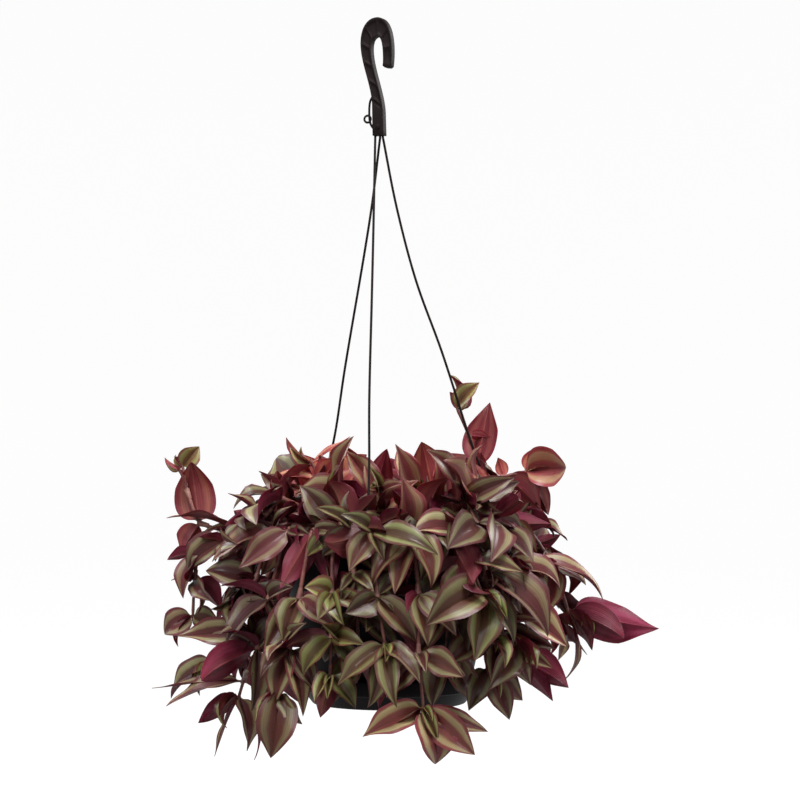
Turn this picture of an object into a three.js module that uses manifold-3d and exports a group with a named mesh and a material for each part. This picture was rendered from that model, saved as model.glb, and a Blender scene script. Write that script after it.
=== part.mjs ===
// A purple wandering-dude plant in a round hanging pot: millimetres, +Z up.
// The origin is the point inside the hook's arch that the whole plant hangs from.
import * as THREE from 'three';
import { mergeVertices } from 'three/addons/utils/BufferGeometryUtils.js';
import Module from 'manifold-3d';

// Driving dimensions
const RIM_Z = -330;            // height of the pot's rim under the hook
const POT_X = 7;               // the pot hangs a little to the right of the hook
const RIM_RADIUS = 76.5;
const POT_HEIGHT = 106;
const WALL = 1.6;
const ROUND_SIDES = 24;
const LEG_RING_RADIUS = 74.2;  // circle of the three leg holes in the rim
const LEG_HOLE_RADIUS = 1.45;
const LEG_BEARINGS = { right: 17, left: 137, front: 257 };
const STRAND_RADIUS = 0.85;
const SOIL_DEPTH = 12;         // soil surface under the rim
const ROOT_DEPTH = 24;         // how far a stem reaches into the soil
const GAP = 0.3;               // clearance between pieces that touch
const HOOK_DEPTH = 6.5;
const HOOK_TURN = -20;         // degrees about the vertical, its tip towards the viewer
const TANG_BOTTOM = -66;
const STEM_RADIUS = 1.9;
const BUD_LENGTH = 3.5;
const MIDRIB = 1.3;            // a blade's thickness along its midrib
const SPARE = 0.45;            // free space kept round each blade
const FULLNESS = 1.12;         // leaf widths below are scaled by this

const wasm = await Module();
wasm.setup();

const plastic = new THREE.MeshStandardMaterial({ color: 0x1f1b1d, roughness: 0.45, metalness: 0 });
const dark = new THREE.MeshStandardMaterial({ color: 0x161516, roughness: 0.5, metalness: 0 });
const earth = new THREE.MeshStandardMaterial({ color: 0x2a1c14, roughness: 0.95, metalness: 0 });
const foliage = new THREE.MeshStandardMaterial({ color: 0x5b2f3a, roughness: 0.5, metalness: 0 });

const part = new THREE.Group();

function solidOf(geometry) {
  const bare = new THREE.BufferGeometry();
  bare.setAttribute('position', geometry.getAttribute('position'));
  bare.setIndex(geometry.getIndex());
  const merged = mergeVertices(bare, 1e-4);
  return new wasm.Manifold(new wasm.Mesh({
    numProp: 3,
    vertProperties: new Float32Array(merged.attributes.position.array),
    triVerts: new Uint32Array(merged.index.array),
  }));
}

function addMesh(name, solid, material) {
  const { vertProperties, triVerts } = solid.getMesh();
  const geometry = new THREE.BufferGeometry();
  geometry.setAttribute('position', new THREE.BufferAttribute(vertProperties, 3));
  geometry.setIndex(new THREE.BufferAttribute(triVerts, 1));
  geometry.computeVertexNormals();
  const mesh = new THREE.Mesh(geometry, material);
  mesh.name = name;
  part.add(mesh);
}

function joined(solids) {
  return solids.reduce((sum, next) => sum.add(next));
}

function vector([x, y, z]) {
  return new THREE.Vector3(x, y, z);
}

// Closed ring or disc turned about the pot's axis; profile points are [radius, height over the rim]
function turned(profile, segments) {
  const outline = profile.map(([radius, height]) => new THREE.Vector2(radius, height));
  const geometry = new THREE.LatheGeometry(outline, segments);
  geometry.rotateX(Math.PI / 2);
  geometry.translate(POT_X, 0, RIM_Z);
  return solidOf(geometry);
}

function rod(radius, height, sides, centre) {
  const geometry = new THREE.CylinderGeometry(radius, radius, height, sides);
  geometry.rotateX(Math.PI / 2);
  geometry.translate(...centre);
  return solidOf(geometry);
}

function block(size, turn, centre) {
  const geometry = new THREE.BoxGeometry(...size);
  geometry.rotateZ(turn);
  geometry.translate(...centre);
  return solidOf(geometry);
}

function strand(points, radius, sides, steps) {
  const corners = Array.from({ length: sides }, (_, corner) => 2 * Math.PI * corner / sides);
  const section = new THREE.Shape(corners.map(
    (angle) => new THREE.Vector2(radius * Math.cos(angle), radius * Math.sin(angle)),
  ));
  const extrudePath = new THREE.CatmullRomCurve3(points);
  return solidOf(new THREE.ExtrudeGeometry(section, { steps, bevelEnabled: false, extrudePath }));
}

function onRing(bearing, radius, height) {
  const angle = THREE.MathUtils.degToRad(bearing);
  const x = POT_X + radius * Math.cos(angle);
  return new THREE.Vector3(x, radius * Math.sin(angle), RIM_Z + height);
}

// Pot: thin tapered shell with a stepped wall, a flat rim with three leg holes, and drain holes
const floorHeight = -POT_HEIGHT;
let pot = turned([
  [0, floorHeight], [53, floorHeight], [61, -72], [62.6, -70], [70.4, -14], [72, -12],
  [72.4, -2.2], [RIM_RADIUS, -2.2], [RIM_RADIUS, 0], [70.8, 0], [68.8, -14],
  [61, -70 - WALL], [59.4, -72 - WALL], [51.6, floorHeight + 2.2], [0, floorHeight + 2.2],
  [0, floorHeight],
], ROUND_SIDES);
for (const bearing of Object.values(LEG_BEARINGS)) {
  const hole = onRing(bearing, LEG_RING_RADIUS, -1);
  pot = pot.subtract(rod(LEG_HOLE_RADIUS, 6, 6, hole.toArray()));
}
for (const bearing of [45, 135, 225, 315]) {
  const drain = onRing(bearing, 32, floorHeight);
  pot = pot.subtract(rod(4, 12, 6, drain.toArray()));
}
addMesh('pot', pot, dark);

// Drip saucer: a stepped dish under the pot, with a seat ring and three tabs that grip the wall
const saucerBottom = floorHeight - 7;
let saucer = turned([
  [0, saucerBottom], [51, saucerBottom], [58, saucerBottom + 9], [60, saucerBottom + 9.6],
  [61.4, saucerBottom + 19], [59.6, saucerBottom + 19], [58.4, saucerBottom + 11],
  [56.6, saucerBottom + 10.4], [50.6, saucerBottom + 2], [47, saucerBottom + 2],
  [47, floorHeight - GAP], [45, floorHeight - GAP], [45, saucerBottom + 2],
  [0, saucerBottom + 2], [0, saucerBottom],
], ROUND_SIDES);
for (const bearing of [77, 197, 317]) {
  const tab = onRing(bearing, 59.4, saucerBottom + 17.2);
  saucer = saucer.add(block([2.6, 7, 2.4], THREE.MathUtils.degToRad(bearing), tab.toArray()));
}
addMesh('saucer', saucer, dark);

// Hook: a chunky S with a web sunk between raised edges, a flat tang, and a thin tie loop beside it
const hookOutline = new THREE.Shape();
hookOutline.moveTo(0, 12.8);
hookOutline.bezierCurveTo(-8, 12.8, -11.8, 5, -11.8, -4);
hookOutline.bezierCurveTo(-11.8, -17, -4.6, -31, -3.6, -44);
hookOutline.lineTo(-3.2, TANG_BOTTOM);
hookOutline.lineTo(4.6, TANG_BOTTOM);
hookOutline.lineTo(4.1, -50);
hookOutline.bezierCurveTo(3.4, -37, -4.4, -20, -4.4, -8);
hookOutline.bezierCurveTo(-4.4, -2.2, -2.4, 0, 0, 0);
hookOutline.bezierCurveTo(2.6, 0, 4.3, -4, 4.2, -17);
hookOutline.lineTo(3.9, -19.6);
hookOutline.lineTo(5.4, -21.6);
hookOutline.lineTo(9.8, -20.2);
hookOutline.bezierCurveTo(11.4, -9, 10.8, 12.8, 0, 12.8);
const hookPlate = new THREE.ExtrudeGeometry(hookOutline, {
  depth: HOOK_DEPTH, bevelEnabled: false, curveSegments: 4,
});
hookPlate.rotateX(Math.PI / 2);
hookPlate.translate(0, HOOK_DEPTH / 2, 0);
let hook = solidOf(hookPlate);
const grooveRoute = [
  [7.1, -16], [7.2, -6], [5.2, 4.6], [-1, 7.6], [-6.8, 3], [-8, -6], [-6.2, -18], [-2.4, -33],
  [0.2, -44],
];
const grooveShape = new THREE.Shape([
  new THREE.Vector2(-1.6, -1.6), new THREE.Vector2(1.6, -1.6),
  new THREE.Vector2(1.6, 1.6), new THREE.Vector2(-1.6, 1.6),
]);
for (const face of [-1, 1]) {
  const points = grooveRoute.map(([x, z]) => new THREE.Vector3(x, face * HOOK_DEPTH / 2, z));
  const extrudePath = new THREE.CatmullRomCurve3(points);
  const groove = new THREE.ExtrudeGeometry(grooveShape, { steps: 8, bevelEnabled: false, extrudePath });
  hook = hook.subtract(solidOf(groove));
}
const boss = new THREE.CylinderGeometry(1.8, 1.8, HOOK_DEPTH + 1.4, 10);
boss.translate(0.7, 0, -60);
hook = hook.add(solidOf(boss));
const tieRoute = [[-3, -38], [-6, -43], [-6.6, -51], [-5.8, -57.5], [-2.4, -62.5]];
hook = hook.add(strand(tieRoute.map(([x, z]) => new THREE.Vector3(x, 0, z)), 0.8, 5, 8));
const tieEye = new THREE.TorusGeometry(2.3, 0.75, 4, 9);
tieEye.rotateX(Math.PI / 2);
tieEye.translate(-7.8, 0, -54.5);
hook = hook.add(solidOf(tieEye));
const legSockets = { left: [0.7, 1.1], front: [-2, -0.9], right: [3.4, -0.9] };
const SOCKET_DEPTH = 6;
for (const [x, y] of Object.values(legSockets)) {
  hook = hook.subtract(rod(STRAND_RADIUS + GAP, 2 * SOCKET_DEPTH, 6, [x, y, TANG_BOTTOM]));
}
hook = hook.rotate([0, 0, HOOK_TURN]);
addMesh('hook', hook, plastic);

// Hanger legs: thin moulded strands from the tang's sockets to clips through the rim
const legRoutes = {
  right: [[12, 4, -113], [25, 8, -162], [42.5, 12, -210], [60, 17, -264], [73, 21, -302]],
  left: [[-5, 8, -115], [-23, 31, -220], [-31, 41, -270], [-40, 48, -304]],
  front: [
    [-3.4, -19, -137], [-4.2, -31, -177], [-5.6, -48, -242], [-5.6, -61, -291], [-6.6, -68, -314],
  ],
};
const legs = {};
for (const [side, route] of Object.entries(legRoutes)) {
  const socket = vector([...legSockets[side], 0]);
  socket.applyAxisAngle(new THREE.Vector3(0, 0, 1), THREE.MathUtils.degToRad(HOOK_TURN));
  const top = socket.clone().setZ(TANG_BOTTOM - 1);
  const plug = rod(STRAND_RADIUS, SOCKET_DEPTH, 6, socket.clone().setZ(TANG_BOTTOM + 1.5).toArray());
  const hole = onRing(LEG_BEARINGS[side], LEG_RING_RADIUS, 0);
  const end = hole.clone().setZ(RIM_Z + 2);
  const strandSolid = strand([top, ...route.map(vector), end], STRAND_RADIUS, 6, 10);
  const pin = rod(STRAND_RADIUS, 7, 6, hole.clone().setZ(RIM_Z - 1).toArray());
  const bearing = THREE.MathUtils.degToRad(LEG_BEARINGS[side]);
  const toggle = block([2.2, 6.4, 2], bearing, hole.clone().setZ(RIM_Z - 2.2 - GAP - 1).toArray());
  const collar = block([2.6, 4.2, 3], bearing, hole.clone().setZ(RIM_Z + GAP + 1.5).toArray());
  legs[side] = joined([plug, strandSolid, collar, pin, toggle]);
  addMesh('leg_' + side, legs[side], plastic);
}

function facetedSolid(points, triangles) {
  const places = points.flatMap((point) => point.toArray());
  const geometry = new THREE.BufferGeometry();
  geometry.setAttribute('position', new THREE.Float32BufferAttribute(places, 3));
  geometry.setIndex(triangles);
  return solidOf(geometry);
}

// Repeatable chance: the same draws every time
function draws(seed) {
  let state = seed * 7919 + 17;
  return (low, high) => {
    state = (state * 16807) % 2147483647;
    return low + (high - low) * (state / 2147483647);
  };
}

// A blade's half width along its length, 1 at the widest: a narrow neck, a round base, a drawn-out tip
const NECK_END = 0.07;
const NECK_SHARE = 0.12;
const BASE_POWER = 0.5;
const TIP_POWER = 0.85;
const WIDEST = BASE_POWER / (BASE_POWER + TIP_POWER);
const TWIST_LEVEL = 0.4;       // a twisted blade faces its own way at this share of its length
function halfWidth(t) {
  const past = Math.max((t - NECK_END) / (1 - NECK_END), 0);
  const swell = (past / WIDEST) ** BASE_POWER * ((1 - past) / (1 - WIDEST)) ** TIP_POWER;
  return Math.max(swell, NECK_SHARE);
}

function stationsFor(length) {
  if (length > 56) return [0.07, 0.24, 0.52, 0.8];
  return length > 40 ? [0.07, 0.34, 0.74] : [0.2, 0.66];
}

// Two directions at right angles, turned together in their plane: the first towards the second
function turnedPair(first, second, angle) {
  return [
    first.clone().multiplyScalar(Math.cos(angle)).addScaledVector(second, Math.sin(angle)),
    second.clone().multiplyScalar(Math.cos(angle)).addScaledVector(first, -Math.sin(angle)),
  ];
}

// One blade: pointed at both ends, folded along its midrib (fold is its edge's rise over its half
// width), bent in an arc from base to tip, and twisted about its midrib
function bladeSolid({ base, tip, face, width, bend, fold, twist }, spare = 0) {
  const along = tip.clone().sub(base);
  const chord = along.length();
  along.normalize();
  const length = chord * (bend / 2) / Math.sin(bend / 2);
  const across = along.clone().cross(face);
  const [start, up] = turnedPair(along, face, bend / 2);
  const centreAt = (t) => base.clone()
    .addScaledVector(start, length / bend * Math.sin(bend * t))
    .addScaledVector(up, -length / bend * (1 - Math.cos(bend * t)));
  const points = [base.clone()];
  const stations = stationsFor(length);
  for (const t of stations) {
    const half = width / 2 * halfWidth(t) + spare;
    const upright = turnedPair(up, start, bend * t)[0];
    const [side, rise] = turnedPair(across, upright, twist * (t - TWIST_LEVEL));
    const centre = centreAt(t);
    const edge = centre.clone().addScaledVector(rise, half * fold);
    points.push(
      edge.clone().addScaledVector(side, -half),
      centre.clone().addScaledVector(rise, MIDRIB / 2 + spare),
      edge.clone().addScaledVector(side, half),
      centre.clone().addScaledVector(rise, -MIDRIB / 2 - spare),
    );
  }
  points.push(tip.clone().addScaledVector(along, spare));
  const [LEFT, TOP, RIGHT, UNDER] = [1, 2, 3, 4];
  const triangles = [];
  const last = points.length - 1;
  for (const [a, b] of [[LEFT, TOP], [TOP, RIGHT], [RIGHT, UNDER], [UNDER, LEFT]]) {
    triangles.push(0, b, a, last, last - 5 + a, last - 5 + b);
  }
  for (let row = 0; row < stations.length - 1; row += 1) {
    const near = 4 * row;
    const far = near + 4;
    // Both faces split from the edge to the next point of the midrib, so they never cross
    for (const [edge, middle] of [[LEFT, TOP], [UNDER, LEFT], [RIGHT, UNDER], [TOP, RIGHT]]) {
      const edgeFirst = edge === LEFT || edge === RIGHT;
      if (edgeFirst) {
        triangles.push(near + edge, near + middle, far + middle);
        triangles.push(near + edge, far + middle, far + edge);
      } else {
        triangles.push(near + middle, far + edge, near + edge);
        triangles.push(near + middle, far + middle, far + edge);
      }
    }
  }
  return facetedSolid(points, triangles);
}

// A stem through its joints, thinner towards the tip
const STEM_SIDES = 4;
function stemSolid(joints, spare = 0) {
  const points = [];
  const triangles = [];
  let side = new THREE.Vector3(1, 0, 0);
  joints.forEach((joint, index) => {
    const from = Math.max(index - 1, 0);
    const along = joints[from + 1].clone().sub(joints[from]).normalize();
    side = side.clone().addScaledVector(along, -side.dot(along)).normalize();
    const other = along.clone().cross(side);
    const radius = STEM_RADIUS * (1 - 0.5 * index / (joints.length - 1)) + spare;
    for (let corner = 0; corner < STEM_SIDES; corner += 1) {
      const angle = 2 * Math.PI * corner / STEM_SIDES;
      points.push(joint.clone()
        .addScaledVector(side, radius * Math.cos(angle))
        .addScaledVector(other, radius * Math.sin(angle)));
    }
  });
  for (let ring = 0; ring < joints.length - 1; ring += 1) {
    for (let corner = 0; corner < STEM_SIDES; corner += 1) {
      const a = ring * STEM_SIDES + corner;
      const b = ring * STEM_SIDES + (corner + 1) % STEM_SIDES;
      triangles.push(a, b, b + STEM_SIDES, a, b + STEM_SIDES, a + STEM_SIDES);
    }
  }
  const top = (joints.length - 1) * STEM_SIDES;
  for (let corner = 1; corner < STEM_SIDES - 1; corner += 1) {
    triangles.push(0, corner + 1, corner, top, top + corner, top + corner + 1);
  }
  return facetedSolid(points, triangles);
}

// Stems seen in front and at the sides. Places are [across, depth, height over the rim]; depth is
// smaller towards the viewer. A leaf is [joint, tip, width, turn]: the leaf stands on that joint of
// its stem, and turn 0 shows its top to the viewer, 90 holds it flat, 180 shows its underside.
const shownStems = {
  far_left: {
    root: [-28, -6],
    joints: [
      [-38, -8, 7], [-68, -10, 9], [-93, -8, 0], [-119, -4, 6], [-128, 4, 28], [-131, 7, 43],
    ],
    leaves: [
      [1, [-62, -14, 42], 14, 150], [2, [-140, -12, 9], 14, 80], [3, [-125, 2, 48], 25, 180],
      [4, [-138, 8, 46], 6, 60], [5, [-120, 8, 57], 13, 20], [5, [-137, 6, 50], 7, 150],
      [3, [-131, -10, -13], 14, 160],
    ],
  },
  left_trail: {
    root: [-30, -16],
    joints: [
      [-50, -20, 8], [-76, -24, 6], [-101, -24, -5], [-118, -22, -14], [-121, -22, -30],
      [-122, -22, -54],
    ],
    leaves: [
      [1, [-84, -34, -24], 18, 20], [2, [-127, -30, -24], 19, 20], [2, [-80, -22, 4], 13, 60],
      [3, [-139, -24, -17], 11, 150], [3, [-129, -28, -42], 15, 30], [4, [-104, -24, -50], 16, 160],
      [5, [-143, -20, -66], 17, 30], [5, [-104, -26, -58], 14, 20],
    ],
  },
  left_front: {
    root: [-34, -26],
    joints: [[-48, -32, 8], [-68, -42, 4], [-80, -44, -30], [-84, -44, -50], [-80, -44, -63]],
    leaves: [
      [1, [-106, -46, -18], 19, 40], [2, [-113, -42, -22], 20, 10], [3, [-62, -56, -76], 18, 20],
      [2, [-58, -58, -54], 17, 20], [1, [-74, -56, -26], 18, 20],
      [4, [-130, -46, -66], 18, 30], [4, [-100, -52, -86], 17, 60],
    ],
  },
  left_low: {
    root: [-30, -37],
    joints: [
      [-40, -46, 7], [-58, -58, 4], [-70, -60, -40], [-78, -54, -72], [-87, -50, -94],
      [-90, -49, -104],
    ],
    leaves: [
      [1, [-62, -72, -46], 16, 180], [2, [-97, -66, -68], 18, 30], [2, [-52, -74, -66], 18, 20],
      [1, [-88, -68, -20], 17, 30], [3, [-131, -60, -86], 25, 160],
      [4, [-136, -52, -111], 14, 60], [4, [-145, -46, -103], 5, 60],
      [5, [-84, -60, -138], 17, 30], [5, [-104, -48, -143], 6, 60], [5, [-77, -46, -146], 8, 120],
      [5, [-117, -50, -122], 12, 170], [3, [-80, -64, -112], 17, 20],
    ],
  },
  left_bottom: {
    root: [-20, -42],
    joints: [[-29, -54, 7], [-42, -72, 4], [-50, -77, -38], [-56, -79, -70], [-62, -80, -98]],
    leaves: [
      [0, [-50, -58, 34], 18, 20],
      [1, [-62, -84, -30], 16, 180], [2, [-72, -86, -72], 17, 20], [2, [-26, -88, -58], 15, 20],
      [3, [-66, -88, -104], 17, 20], [3, [-38, -90, -98], 14, 30], [2, [-60, -90, -64], 18, 10],
      [1, [-30, -84, -30], 17, 170], [4, [-67, -84, -138], 23, 10],
      [4, [-48, -90, -118], 10, 0], [3, [-47, -90, -112], 15, 20],
    ],
  },
  fire_left: {
    root: [-20, -2],
    joints: [[-26, -4, 5], [-33, -8, 18], [-38, -9, 32], [-44, -8, 46]],
    leaves: [
      [0, [-67, -12, 36], 11, 60], [1, [-52, -9, 53], 21, 160], [1, [-12, -14, 44], 16, 20],
      [2, [-71, -14, 39], 10, 50], [3, [-18, -10, 62], 4, 60], [2, [-26, -22, 50], 16, 160],
    ],
  },
  left_back: {
    root: [-34, 8],
    joints: [[-44, 8, 8], [-62, 6, 12], [-82, 4, 4], [-90, 2, -6]],
    leaves: [
      [1, [-74, 0, 32], 15, 170], [2, [-97, 6, 14], 12, 160], [3, [-123, 0, -22], 16, 60],
      [3, [-104, -8, -36], 16, 20], [1, [-60, 20, 38], 15, 160],
    ],
  },
  ember: {
    root: [-12, 8],
    joints: [[-15, 6, 8], [-20, 2, 24], [-24, -2, 36]],
    leaves: [
      [1, [-19, -6, 58], 22, 165], [2, [-29, -8, 55], 15, 20], [0, [-44, -4, 26], 16, 30],
      [2, [-8, 4, 52], 14, 160], [0, [8, -8, 28], 15, 30],
    ],
  },
  centre_magenta: {
    root: [2, -22],
    joints: [[-2, -26, 2], [-3, -38, 14]],
    leaves: [
      [1, [6, -40, 58], 17, 175], [1, [-24, -52, 8], 17, 20], [0, [26, -50, 16], 16, 30],
      [1, [26, -46, 36], 17, 30], [1, [-24, -40, 36], 14, 160],
    ],
  },
  coral: {
    root: [26, 10],
    joints: [[30, 12, 5], [38, 16, 18], [44, 14, 30]],
    leaves: [
      [1, [29, 14, 61], 26, 180], [2, [47, 8, 46], 16, 170], [1, [60, 4, 28], 16, 40],
      [0, [18, 2, 40], 16, 20], [2, [38, 0, 48], 14, 10],
    ],
  },
  right_tall: {
    root: [46, 22],
    joints: [[52, 26, 6], [61, 30, 16], [67, 32, 42], [61, 30, 64], [53, 28, 82]],
    leaves: [
      [1, [69, 30, 54], 19, 175], [2, [75, 30, 86], 20, 180], [3, [76, 34, 62], 8, 150],
      [4, [68, 26, 99], 13, 20], [4, [48, 28, 94], 6, 160], [0, [80, 26, 30], 16, 160],
    ],
  },
  sprig: {
    root: [54, -8],
    joints: [[60, -6, 8], [72, 0, 28], [84, 3, 37], [98, 5, 40]],
    leaves: [
      [0, [62, -14, 40], 16, 30], [2, [80, 4, 50], 8, 170], [2, [107, -2, 15], 20, 150],
      [3, [127, 5, 42], 24, 20], [3, [114, 3, 10], 12, 170], [1, [64, 4, 46], 12, 170],
      [3, [112, 6, 56], 10, 150],
    ],
  },
  right_fan: {
    root: [54, -20],
    joints: [[68, -22, 8], [84, -25, 6], [93, -20, -8], [100, -16, -18]],
    leaves: [
      [0, [66, -26, 40], 18, 20], [1, [94, -8, 27], 12, 170], [1, [114, -12, 6], 13, 160],
      [3, [152, -20, -40], 16, 70], [2, [104, -30, -46], 17, 20], [1, [104, -38, -14], 16, 30],
    ],
  },
  far_right: {
    root: [58, 2],
    joints: [[72, 2, 9], [98, 0, 4], [116, -4, -22], [126, -6, -52]],
    leaves: [
      [1, [122, -10, 0], 16, 60], [2, [138, -14, -28], 16, 60], [3, [186, -10, -64], 25, 195],
      [3, [143, -6, -78], 12, 160], [3, [124, -12, -105], 9, 60], [2, [110, -14, -54], 16, 30],
      [3, [164, -22, -70], 18, 150],
    ],
  },
  right_front: {
    root: [50, -30],
    joints: [[64, -37, 8], [78, -45, 4], [81, -48, -22], [84, -50, -46], [79, -54, -66]],
    leaves: [
      [0, [88, -44, 30], 17, 20],
      [2, [122, -50, -31], 18, 45], [3, [123, -56, -71], 23, 30], [3, [54, -68, -56], 17, 20],
      [4, [97, -64, -95], 19, 10], [4, [72, -70, -99], 18, 10], [1, [96, -60, -24], 17, 30],
      [4, [112, -62, -84], 14, 20], [1, [60, -66, -24], 18, 20], [2, [102, -62, -50], 17, 20],
    ],
  },
  right_low: {
    root: [42, -40],
    joints: [[52, -51, 7], [62, -64, 4], [67, -67, -28], [69, -66, -62], [70, -64, -84]],
    leaves: [
      [0, [58, -72, 32], 17, 160],
      [2, [92, -74, -50], 18, 40], [2, [50, -80, -56], 18, 20], [1, [82, -76, -14], 17, 30],
      [3, [105, -66, -68], 11, 70], [4, [93, -66, -104], 17, 20],
      [4, [86, -66, -118], 15, 10], [3, [42, -82, -82], 17, 20], [4, [58, -76, -110], 15, 10],
    ],
  },
  right_magenta: {
    root: [58, -9],
    joints: [[74, -11, 8], [87, -14, 2], [89, -19, -34], [90, -22, -64], [88, -24, -80]],
    leaves: [
      [2, [114, -28, -54], 17, 30], [3, [112, -10, -86], 14, 30], [4, [126, -28, -100], 22, 160],
      [4, [114, -24, -110], 15, 160], [3, [72, -34, -96], 16, 20],
    ],
  },
  star: {
    root: [14, -46],
    joints: [[18, -62, 7], [22, -82, 4], [26, -91, -34], [26, -95, -72], [29, -96, -106]],
    leaves: [
      [0, [14, -72, 38], 19, 20], [1, [12, -98, -34], 17, 15],
      [1, [58, -78, 4], 17, 40], [1, [-7, -96, -28], 17, 20], [2, [32, -104, -66], 17, 20],
      [3, [54, -100, -86], 16, 30], [4, [39, -100, -143], 26, 10], [4, [61, -98, -135], 20, 15],
      [4, [70, -94, -121], 13, 20], [4, [-8, -100, -124], 18, 30], [4, [8, -100, -118], 15, 50],
      [3, [6, -104, -98], 16, 20], [2, [50, -100, -60], 17, 20], [1, [36, -98, -30], 18, 15],
    ],
  },
  silver: {
    root: [2, -46],
    joints: [[0, -62, 7], [-3, -83, 4], [0, -92, -36], [5, -95, -66]],
    leaves: [
      [1, [-36, -100, -4], 19, 175], [1, [36, -92, -18], 17, 25], [2, [-20, -100, -46], 16, 10],
      [3, [-4, -104, -106], 14, 0], [3, [13, -104, -106], 14, 10], [3, [-24, -100, -92], 16, 30],
      [3, [24, -102, -94], 14, 20], [2, [26, -102, -62], 16, 20], [1, [-18, -96, -20], 16, 20],
    ],
  },
  arch: {
    root: [28, -42],
    joints: [[31, -59, 8], [42, -75, 5], [58, -83, -14], [66, -86, -34]],
    leaves: [
      [0, [44, -64, 42], 19, 165],
      [1, [72, -84, 6], 17, 60], [1, [64, -94, -30], 23, 175], [3, [30, -98, -58], 24, 15],
      [3, [88, -88, -66], 16, 30], [2, [92, -84, -22], 16, 45], [0, [10, -72, 30], 16, 160],
      [3, [60, -98, -76], 20, 20], [2, [44, -94, -52], 18, 15], [1, [28, -92, -24], 16, 20],
    ],
  },
  curtain_left: {
    root: [-8, -38],
    joints: [[-13.5, -57, 8], [-16.5, -79, 6], [-15, -81, -22], [-13, -78, -48], [-12, -76, -70]],
    leaves: [
      [1, [-34, -84, -20], 18, 20], [1, [8, -84, -26], 17, 15], [2, [-36, -80, -52], 17, 170],
      [2, [14, -84, -46], 16, 20],
      [3, [-38, -80, -78], 17, 20], [3, [12, -82, -72], 17, 30], [4, [-28, -80, -104], 17, 20],
      [4, [2, -80, -108], 16, 170],
    ],
  },
  curtain_right: {
    root: [34, -34],
    joints: [[38, -54, 8], [44, -71, 6], [45, -74, -22], [45, -72, -48], [44, -70, -70]],
    leaves: [
      [1, [70, -76, -26], 17, 15], [2, [22, -82, -46], 17, 20],
      [2, [70, -70, -52], 16, 170],
      [3, [24, -80, -76], 17, 30], [3, [68, -72, -80], 17, 20], [4, [32, -78, -106], 17, 20],
      [4, [62, -72, -104], 16, 20],
    ],
  },
  young: {
    root: [-14, -44],
    joints: [[-21, -60, 7], [-28, -77, 4], [-29, -85, -34], [-29, -87, -62], [-30, -88, -86]],
    leaves: [
      [0, [-32, -66, 38], 18, 160], [1, [-48, -90, -22], 18, 20],
      [1, [-52, -82, -12], 16, 30], [2, [-4, -96, -42], 11, 0], [2, [-38, -98, -54], 12, 10],
      [3, [-8, -98, -66], 12, 20], [3, [-48, -94, -86], 16, 20], [2, [-46, -94, -30], 15, 20],
      [4, [-36, -94, -112], 12, 170], [4, [-13, -96, -106], 13, 30],
    ],
  },
};

// The other stems fill the pot by a rule: they start all over the soil and fan out to every side
const FIRST_SHOWN_SEED = 127;  // of the first stem above; each of them takes the next number
const FIRST_FILLER_SEED = 29;  // of the first filler stem, and so on
const FILLER_COUNT = 18;
const GOLDEN_SHARE = 0.618034; // of the filled sweep, from one filler stem to the next
const SWEEP_START = 300;       // bearing; the front is left to the stems above
const SWEEP = 296;
const TURN_ON = 6;             // degrees that a filler stem turns on by while its way is blocked
const MOST_TURNS = 12;
const CLEAR_SIDE = 86;         // from the pot's axis: past it, down to CLEAR_DROP under the rim, the
const CLEAR_DROP = 22;         // fillers have no leaves, so the shoots that stand out there show

// How a leaf has bent, folded and twisted as it grew
function growth(draw) {
  return { bend: draw(0.35, 1.05), fold: draw(0.34, 0.72), twist: draw(-0.75, 0.75) };
}

function footAt(x, y) {
  return [-SOIL_DEPTH - ROOT_DEPTH, -SOIL_DEPTH + 3].map((height) => vector([x, y, RIM_Z + height]));
}

// The stem runs on past its last joint to a bud, so the leaves there stand in solid stem
function withBud(joints) {
  const [before, last] = joints.slice(-2);
  const bud = last.clone().addScaledVector(last.clone().sub(before).normalize(), BUD_LENGTH);
  return [...joints.slice(0, -1), bud];
}

function shownStem(name, plan, order) {
  const draw = draws(FIRST_SHOWN_SEED + order);
  const foot = footAt(...plan.root);
  const above = plan.joints.map(([across, depth, height]) => vector([across, depth, RIM_Z + height]));
  const leaves = plan.leaves.map(([joint, [across, depth, height], width, turn]) => {
    const base = above[joint];
    const tip = vector([across, depth, RIM_Z + height]);
    const along = tip.clone().sub(base).normalize();
    const towards = new THREE.Vector3(0, -1, 0).addScaledVector(along, along.y).normalize();
    const aside = along.clone().cross(towards);
    if (aside.z + 0.2 * aside.x < 0) aside.negate();
    const angle = THREE.MathUtils.degToRad(turn + draw(-16, 16));
    const face = turnedPair(towards, aside, angle)[0];
    return { base, tip, face, width: width * FULLNESS, ...growth(draw) };
  });
  return { name: 'stem_' + name, joints: withBud([...foot, ...above]), leaves };
}

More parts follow.
